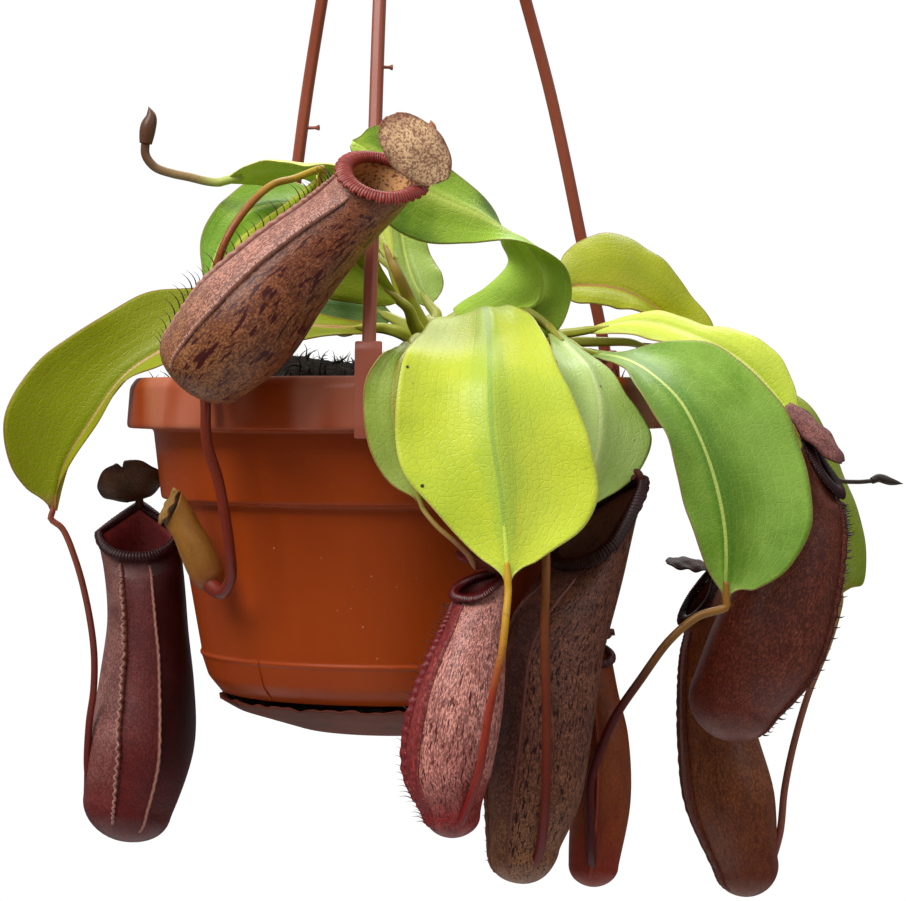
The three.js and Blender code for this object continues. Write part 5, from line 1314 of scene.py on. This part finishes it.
def make_cup(number, pitcher, looks):
    """One cup with its wings. Gives its form, and the points where bristles stand on each wing."""
    cup = Cup(pitcher, MOUTH_PINCH.get(number, 0.0), MOUTH_SPUR.get(number, 0.0))
    shut = number == SHUT_PITCHER
    turns = even_turns(CUP_SIDES)
    foot_rows = [0.004, 0.02, 0.06]
    stations = [(s, 0.0) for s in np.concatenate([foot_rows, np.linspace(0.12, cup.last, CUP_ROWS)])]
    if not shut:
        stations.append((cup.last, WALL * 0.5))
        stations += [(s, WALL) for s in np.linspace(cup.last - 0.03, cup.last - INNER_DEPTH, INNER_ROWS)]
    points, flow, turn, height, inside, crest = [], [], [], [], [], []
    for s, inset in stations:
        ring = cup.ring(s, inset, turns)
        if inset == WALL * 0.5:
            ring = ring + cup.normal * LIP_RISE
        points.extend(ring)
        far = s / cup.last * cup.rail.lengths[-1] * MM
        rolled = [FLOW_R * np.cos(turns), FLOW_R * np.sin(turns), np.full(CUP_SIDES, far)]
        flow.extend(np.column_stack(rolled))
        turn.extend(turns - np.pi)
        height.extend([s / cup.last] * CUP_SIDES)
        inside.extend([float(inset == WALL)] * CUP_SIDES)
        crest.extend([0.0] * CUP_SIDES)
    faces = closed_faces(len(stations), CUP_SIDES)
    bristles = []
    for angle, (tall, frilled) in zip(pitcher["wings"], WING_LOOKS[number - 1]):
        grid, outs = wing_grid(cup, angle, tall, frilled)
        wing_points, wing_faces = sheet(grid, np.array(WING_THICK)[None, :])
        base = len(points)
        points.extend(wing_points)
        faces += [tuple(base + i for i in face) for face in wing_faces]
        share = np.tile(np.repeat(np.linspace(0.2, 0.95, grid.shape[0]), 3), 2)
        flow.extend(wing_points * MM)
        turn.extend([angle] * len(wing_points))
        height.extend(share)
        inside.extend([0.0] * len(wing_points))
        crest.extend(np.tile([0.0, 0.4, 1.0], len(wing_points) // 3))
        bristles.append(outs)
    skin = pitcher_skin(number, pitcher["wings"], *looks)
    piece = solid(f"pitcher_cup_{number}", points, faces, skin, flow=flow,
                  turn=turn, height=height, inside=inside, crest=crest)
    keep(piece, "pitcher_young" if shut else "pitcher", f"pitcher_{number}")
    return cup, bristles


def tendril_skin(name, start, middle, end):
    """A colour that changes from the leaf's tip to the far end, with darker flecks of the last."""
    finish = Finish(name, specular=0.3, coat=0.08, coat_roughness=0.3)
    along = finish.attribute("along")
    uneven = finish.calc("MULTIPLY_ADD", finish.noise(90.0), 0.24, -0.12)
    along = finish.calc("ADD", along, uneven)
    colour = finish.mix(finish.step(along, 0.08, 0.5), start, middle)
    colour = finish.mix(finish.step(along, 0.5, 0.95), colour, end)
    dark = shade_of(end, 0.62)
    flecks = finish.step(finish.noise(900.0, detail=3.0), 0.58, 0.68)
    colour = finish.tint(colour, dark, flecks, 0.35)
    return finish.done(colour, 0.36, finish.noise(700.0), depth=0.00012)


def make_tendril(name, leaf_number, path, looks, radius, node=None, head=None):
    """A tendril that runs on from its leaf's midrib; a head of its own form may close its far end."""
    before, tip = (np.array(p, float) for p in LEAVES[leaf_number - 1]["mid"][-2:])
    ahead = unit(tip - before)
    start = [tuple(tip + ahead * d) for d in TENDRIL_START]
    points, faces = closed_tube(start + list(path), radius, TENDRIL_STEPS, TENDRIL_SIDES)
    along = np.repeat(np.linspace(0, 1, TENDRIL_STEPS + 1), TENDRIL_SIDES)
    if head:
        more, more_faces = closed_tube(*head, HEAD_STEPS, TENDRIL_SIDES, start=len(points))
        points = np.concatenate([points, more])
        faces = faces + more_faces
        along = np.concatenate([along, np.full(len(more), 1.2)])
    piece = solid(name, points, faces, tendril_skin(f"{name}_skin", *looks), along=along)
    return keep(piece, "tendril", *([node] if node else []))


def tendril_taper(half, end):
    """How thick a tendril is along it: a thin start, a steady run, and an end that swells or narrows."""
    def radius(u):
        return half + 0.2 * u + end * float(smooth(0.9, 1, u)) - 0.35 * max(0, 0.05 - u) / 0.05
    return radius


def fringe_tree():
    """Bristles that stand on points, each along the direction kept with its point."""
    nodes, given, out = recipe("wing_fringe", (
        ("Length", "Float"), ("Radius", "Float"), ("Bend", "Float"), ("Seed", "Int"),
        ("Material", "Material")))
    direction = nodes.add("GeometryNodeInputNamedAttribute", {"Name": "out"},
                          data_type="FLOAT_VECTOR").outputs[0]
    stance = nodes.add("FunctionNodeAlignRotationToVector", {"Vector": direction}, axis="Z").outputs[0]
    size = nodes.add("FunctionNodeRandomValue", {2: 0.45, 3: 1.15, "Seed": given["Seed"]}).outputs[1]
    bristle = hair_shape(nodes, given["Length"], given["Radius"], given["Bend"], sides=5)
    stood = nodes.add("GeometryNodeInstanceOnPoints", {
        "Points": given["Geometry"], "Instance": bristle, "Rotation": stance, "Scale": size}).outputs[0]
    return finished(nodes, stood, given, out)


def bristle_skin():
    """Dark red-brown, with a dull shine."""
    finish = Finish("bristle_skin", specular=0.4)
    tone = finish.noise(120.0)
    return finish.done(finish.mix(finish.step(tone, 0.4, 0.7), (34, 16, 14), (92, 48, 40)), 0.45)


cups, bristle_points = [], {}
for number, (pitcher, looks, tendril) in enumerate(zip(PITCHERS, CUP_LOOKS, TENDRIL_LOOKS), 1):
    cup, bristles = make_cup(number, pitcher, looks)
    cups.append(cup)
    bristle_points[number] = bristles
    make_tendril(f"tendril_{number}", pitcher["leaf"], pitcher["tendril"], tendril,
                 tendril_taper(TENDRIL_HALF[number - 1], TENDRIL_END.get(number, 0.8)))

fringe = fringe_tree()
bristles_dark = bristle_skin()
for number, wing, length, radius, every in FRINGES:
    feet, outs = zip(*bristle_points[number][wing][FRINGE_SKIPS[0]:-FRINGE_SKIPS[1]:every])
    source = solid(f"feet_{number}_{wing}", feet, [], bristles_dark, out=outs)
    hairs = grown(source, fringe, f"fringe_{number}_{wing}", {
        "Length": length * MM, "Radius": radius * MM, "Bend": 0.18, "Seed": number + wing,
        "Material": bristles_dark})
    keep(hairs, "pitcher")

# ---------------------------------------------------------------- peristomes
# The hard glossy rim of each mouth, rolled over the edge of the cup. Fine ribs cross it from the inside
# to the scalloped outer edge, and it is drawn up at the back into the neck that carries the lid.
RIM_STATIONS = 300
RIM_SECTION = ((-1.4, 0.0), (-1.5, 0.7), (-1.2, 1.3), (-0.5, 1.75), (0.4, 1.9), (1.3, 1.55), (2.0, 1.0),
               (2.35, 0.55), (2.2, 0.15), (1.6, -0.1), (0.8, 0.1), (-0.4, 0.25))
RIM_LIFT = 0.55
RIM_RIBS = 62  # the least number of ribs, and how many more there are for each 4 mm of a mouth's size
MORE_RIBS = 12
RIB_DEPTH = 0.00011  # metres
RIM_LOOKS = {  # ground, ribs, gloss
    1: ((168, 70, 58), (104, 32, 30), 0.34), 2: ((66, 14, 18), (26, 6, 8), 0.4),
    4: ((96, 14, 18), (48, 6, 10), 0.3), 5: ((54, 12, 13), (20, 4, 6), 0.42),
    6: ((84, 24, 20), (50, 12, 12), 0.4), 7: ((54, 12, 16), (22, 5, 8), 0.42),
    8: ((44, 10, 12), (18, 4, 6), 0.42),
}
RIM_BREADTH = {2: 0.72, 5: 0.9}  # how broad the rolled rim is beside the usual one
RIM_CRIMP = {1: 1.0}  # how strongly its outer edge is waved, where that isn't 0.4
RIM_COAT = {1: 0.16, 4: 0.16}  # its clear gloss, where that isn't 0.04


def ribbed_tree():
    """Raises ribs across a rim; a point's place round the mouth is kept with it."""
    nodes, given, out = recipe("peristome_ribs", (
        ("Ribs", "Float"), ("Depth", "Float"), ("Material", "Material")))
    around = nodes.add("GeometryNodeInputNamedAttribute", {"Name": "around"}, data_type="FLOAT").outputs[0]
    show = nodes.add("GeometryNodeInputNamedAttribute", {"Name": "exposed"}, data_type="FLOAT").outputs[0]
    wave = nodes.calc("SINE", nodes.times(around, given["Ribs"]))
    depth = nodes.times(nodes.times(wave, given["Depth"]), show)
    normal = nodes.add("GeometryNodeInputNormal").outputs[0]
    offset = nodes.add("ShaderNodeVectorMath", {0: normal, "Scale": depth}, operation="SCALE").outputs[0]
    feed = {"Geometry": given["Geometry"], "Offset": offset}
    moved = nodes.add("GeometryNodeSetPosition", feed).outputs[0]
    return finished(nodes, moved, given, out)


def rim_skin(number, ground, ribs, gloss, count):
    """Hard and glossy, with a darker line along each rib and darker blotches."""
    coat = RIM_COAT.get(number, 0.04)
    finish = Finish(f"rim_skin_{number}", specular=0.25, coat=coat, coat_roughness=0.25)
    around = finish.attribute("around")
    wave = finish.calc("SINE", finish.times(around, count))
    colour = finish.mix(finish.step(wave, 0.5, -0.6), ground, ribs)
    blotch = finish.step(finish.noise(240.0, detail=3.0), 0.45, 0.7)
    colour = finish.tint(colour, ribs, blotch, 0.4)
    return finish.done(colour, gloss, finish.noise(900.0), depth=0.00004)


def make_rim(number, cup, tree):
    """The rolled rim of one mouth: its section taken round the edge, scalloped, and then ribbed."""
    ring_size = cup.pitcher["ring"] * RIM_BREADTH.get(number, 1.0)
    count = round(RIM_RIBS + MORE_RIBS * ring_size * cup.pitcher["span"][1] / 4)
    turns = even_turns(RIM_STATIONS)
    section = eased(RIM_SECTION + RIM_SECTION[:1], radius=0.3, steps=2)[1:]
    n = len(section)
    crimp = RIM_CRIMP.get(number, 0.4)
    waves = np.sin(turns * count / 3)
    scallop = crimp * 0.16 * waves + 0.14 * np.sin(turns * 5 + number)
    widen = 1 + 0.12 * np.sin(2 * turns + number)
    grid = []
    for out, up in section:
        outer = float(smooth(0.6, 2.3, out))
        lift = up * ring_size + RIM_LIFT - crimp * 0.25 * outer * waves * ring_size
        grid.append(cup.rim(turns, (out * widen + scallop * outer) * ring_size, lift))
    points = np.transpose(np.array(grid), (1, 0, 2)).reshape(-1, 3)
    faces = []
    for i in range(RIM_STATIONS):
        for j in range(n):
            k, m = (i + 1) % RIM_STATIONS, (j + 1) % n
            faces.append((i * n + j, i * n + m, k * n + m, k * n + j))
    exposed = np.tile([float(smooth(0.0, 0.8, up)) for _, up in section], RIM_STATIONS)
    ground, ribs, gloss = RIM_LOOKS[number]
    skin = rim_skin(number, ground, ribs, gloss, float(count))
    source = solid(f"rim_{number}", points, faces, skin, around=np.repeat(turns, n), exposed=exposed)
    piece = grown(source, tree, f"peristome_rim_{number}", {
        "Ribs": float(count), "Depth": RIB_DEPTH * ring_size, "Material": skin})
    keep(piece, "peristome_red" if number == 1 else "peristome_dark", f"peristome_{number}")


rib_tree = ribbed_tree()
for number, cup in enumerate(cups, 1):
    if number != SHUT_PITCHER:
        make_rim(number, cup, rib_tree)

# ---------------------------------------------------------------- lids
# A thin oval lid over each mouth, joined to the back of the rim by a narrow neck. It is a little arched
# and puckered, has a faint keel below, and is speckled towards its darker edge.
LID_ROWS = 56
LID_COLUMNS = 33
LID_FOOT = 0.9  # half the width of a lid where it leaves the rim
LID_T = 0.75  # the thickness in the middle, and what the edge has less
LID_THINNER = 0.35
NECK_ROWS = 12  # rows of the strip between the rim and a lid that stands away from it
KEEL_STEPS = 30
LID_KEEL_SIDES = 12
LID_LEAN = {1: 5.0}  # how far a lid leans to one side, from its foot to its end
LID_NOTCH = {2: 0.12}  # how deep the end of a lid is notched, as on one that is folded into two lobes
LID_LOOKS = (  # ground, speckles, edge, share of speckles
    ((226, 184, 140), (122, 66, 58), (120, 66, 56), 0.75),
    ((78, 48, 24), (44, 14, 12), (46, 20, 16), 0.5),
    ((150, 112, 54), (96, 58, 34), (104, 60, 36), 0.4),
    ((120, 42, 40), (66, 14, 18), (72, 18, 20), 0.5),
    ((84, 40, 34), (46, 14, 16), (44, 16, 16), 0.5),
    ((116, 60, 36), (76, 28, 22), (82, 32, 24), 0.4),
    ((136, 84, 76), (66, 22, 24), (64, 20, 20), 0.7),
    ((72, 42, 30), (40, 16, 14), (44, 20, 16), 0.4),
)


def lid_skin(number, ground, spots, edge, share):
    """Pale ground under fine speckles, with a darker edge and faint veins along it."""
    finish = Finish(f"lid_skin_{number}", specular=0.2)
    across = finish.attribute("across")
    along = finish.attribute("along")
    blotch = finish.noise(150.0, detail=4.0)
    colour = finish.mix(finish.step(blotch, 0.4, 0.64), ground, shade_of(ground, 1.12, 6))
    net = finish.noise(1700.0, detail=4.0, roughness=0.65)
    colour = finish.tint(colour, spots, finish.step(net, 0.46, 0.56), share)
    rim = finish.calc("MAXIMUM", across, finish.step(along, 0.5, 1.0))
    rim = finish.step(finish.calc("ADD", rim, finish.times(blotch, 0.3)), 0.85, 1.2)
    colour = finish.tint(colour, edge, rim, 0.75)
    vein = finish.step(finish.calc("PINGPONG", finish.calc("ADD", across, 0.1), 0.18), 0.03, 0.0)
    colour = finish.tint(colour, spots, vein, 0.2)
    return finish.done(colour, 0.52, finish.calc("ADD", net, blotch), depth=0.0002)


def make_lid(number, cup, looks):
    """The lid over one mouth, with the neck that carries it and the keel that the neck runs on into."""
    lid = cup.pitcher["lid"]
    notch = LID_NOTCH.get(number, 0.0)
    lift = 1.0 if number == SHUT_PITCHER else 1.9 * cup.pitcher["ring"] + 1.4
    base = cup.rim([0.0], 0, lift)[0]
    ahead = unit(np.array(lid["ahead"], float))
    face = np.array(lid["face"], float)
    face = unit(face - ahead * np.dot(face, ahead))
    side = np.cross(face, ahead)
    across = np.linspace(-1, 1, LID_COLUMNS)
    grid = []
    root, neck_rows = base, 0
    if "neck" in lid:
        base = base + cup.back * lid["neck"]
        neck_rows = NECK_ROWS
    for i in range(neck_rows):
        centre = root + (base - root) * (i / neck_rows)
        grid.extend(centre + side * LID_FOOT * w for w in across)
    for i in range(LID_ROWS + 1):
        u = i / LID_ROWS
        swell = math.sin(math.pi * min(1, 0.04 + 0.93 * u)) ** 0.6
        half = LID_FOOT + (lid["width"] / 2 - LID_FOOT) * swell
        if u > 0.93:
            half *= math.sqrt(max(0.0, 1 - ((u - 0.93) / 0.075) ** 2)) * 0.75 + 0.25
        for w in across:
            rise = lid["bend"] * math.sin(math.pi * u) * (1 - w * w)
            pucker = 0.16 * math.sin(7 * w + 2 * u) * math.sin(11 * u + number) * math.sin(math.pi * u)
            frill = 0.3 * abs(w) ** 5 * math.sin(17 * u + 3 * w + number)
            reach = lid["length"] * (u - notch * u * u * math.exp(-(w / 0.4) ** 2))
            fold = notch * 5.0 * abs(w) * math.sin(math.pi * min(1, u * 1.1))
            astray = LID_LEAN.get(number, 0.0) * (u - 0.35)
            up = rise + pucker + frill - fold
            grid.append(base + ahead * reach + side * (half * w + astray) + face * up)
    grid = np.array(grid).reshape(LID_ROWS + 1 + neck_rows, LID_COLUMNS, 3)
    points, faces = sheet(grid, LID_T - LID_THINNER * np.abs(across)[None, :])
    keel_path = [tuple(cup.rim([0.0], -0.2, 0.9)[0]), tuple(cup.rim([0.0], 0.1, lift)[0]),
                 tuple(base + ahead * lid["length"] * 0.16), tuple(base + ahead * lid["length"] * 0.6)]
    keel, keel_faces = closed_tube(
        keel_path, lambda u: 1.25 - 0.95 * u, KEEL_STEPS, LID_KEEL_SIDES, start=len(points))
    keel_along = np.repeat(np.linspace(0, 0.6, KEEL_STEPS + 1), LID_KEEL_SIDES)
    shares = np.concatenate([np.zeros(neck_rows), np.linspace(0, 1, LID_ROWS + 1)])
    along = np.repeat(shares, LID_COLUMNS)
    edge = np.tile(np.abs(across), len(shares))
    piece = solid(f"lid_blade_{number}", np.concatenate([points, keel]), faces + keel_faces,
                  lid_skin(number, *looks), along=np.concatenate([along, along, keel_along]),
                  across=np.concatenate([edge, edge, np.zeros(len(keel))]))
    keep(piece, "lid", f"lid_{number}")


for number, (cup, looks) in enumerate(zip(cups, LID_LOOKS), 1):
    make_lid(number, cup, looks)

# ---------------------------------------------------------------- buds and loose tendrils
# Four tendrils carry no open pitcher: one ends in a swollen bud, one in a small orange bud, one in a
# dried black point, and one simply stops.
BUDS = (
    dict(name="bud_upper_left", leaf=8, thin=1.15, fat=2.1,
         path=((-49.6, 3, 51.2), (-54.3, 3, 52.3), (-59, 3, 53.3), (-63.2, 3, 54.9), (-65.6, 3, 58),
             (-65.6, 3, 62)),
         head=((-65.6, 3, 61), (-65, 3, 65), (-64.2, 3, 68), (-64.8, 3, 70.6))),
    dict(name="bud_right", leaf=5, thin=0.6, fat=1.2,
         path=((94, 12, -6), (106, 10, -20), (115.9, 8, -26.7), (121, 8, -27.3), (125.4, 8, -27)),
         head=((125, 8, -27), (127, 8.6, -26.3), (130, 8, -27.2), (133.3, 8, -27.8))),
    dict(name="bud_top", leaf=11, thin=0.9, fat=1.7,
         path=((3.6, 18, 57), (6.8, 14, 60.6), (8.2, 12, 63)),
         head=((8, 12, 62.4), (8.5, 12, 64.5), (8.9, 12, 66.5), (8.7, 12, 68.2))),
    dict(name="tendril_front", leaf=13, thin=0.6, fat=0.7,
         path=((9, -79, -35), (13, -80.3, -38.5), (16.2, -80.8, -41.6)),
         head=((16, -80.8, -41.4), (17, -80.8, -43), (17.8, -80.8, -45))),
)
BUD_LOOKS = (
    ((186, 200, 96), (150, 122, 80), (96, 62, 44)),
    ((160, 130, 60), (120, 84, 50), (44, 34, 28)),
    ((176, 180, 80), (172, 126, 62), (168, 100, 56)),
    ((176, 170, 80), (170, 136, 70), (130, 90, 56)),
)

for bud, looks in zip(BUDS, BUD_LOOKS):
    fat, thin = bud["fat"], bud["thin"]

    def swollen(u):
        """Half the thickness of the head: widest past its middle, and closed to a point."""
        swell = math.sin(math.pi * min(1, 0.25 + u * 0.6)) ** 2
        return max(0.12, (thin + (fat - thin) * swell) * (1 - u ** 5))

    make_tendril(f"{bud['name']}_stalk", bud["leaf"], bud["path"], looks, lambda u: thin, bud["name"],
                 (bud["head"], swollen))
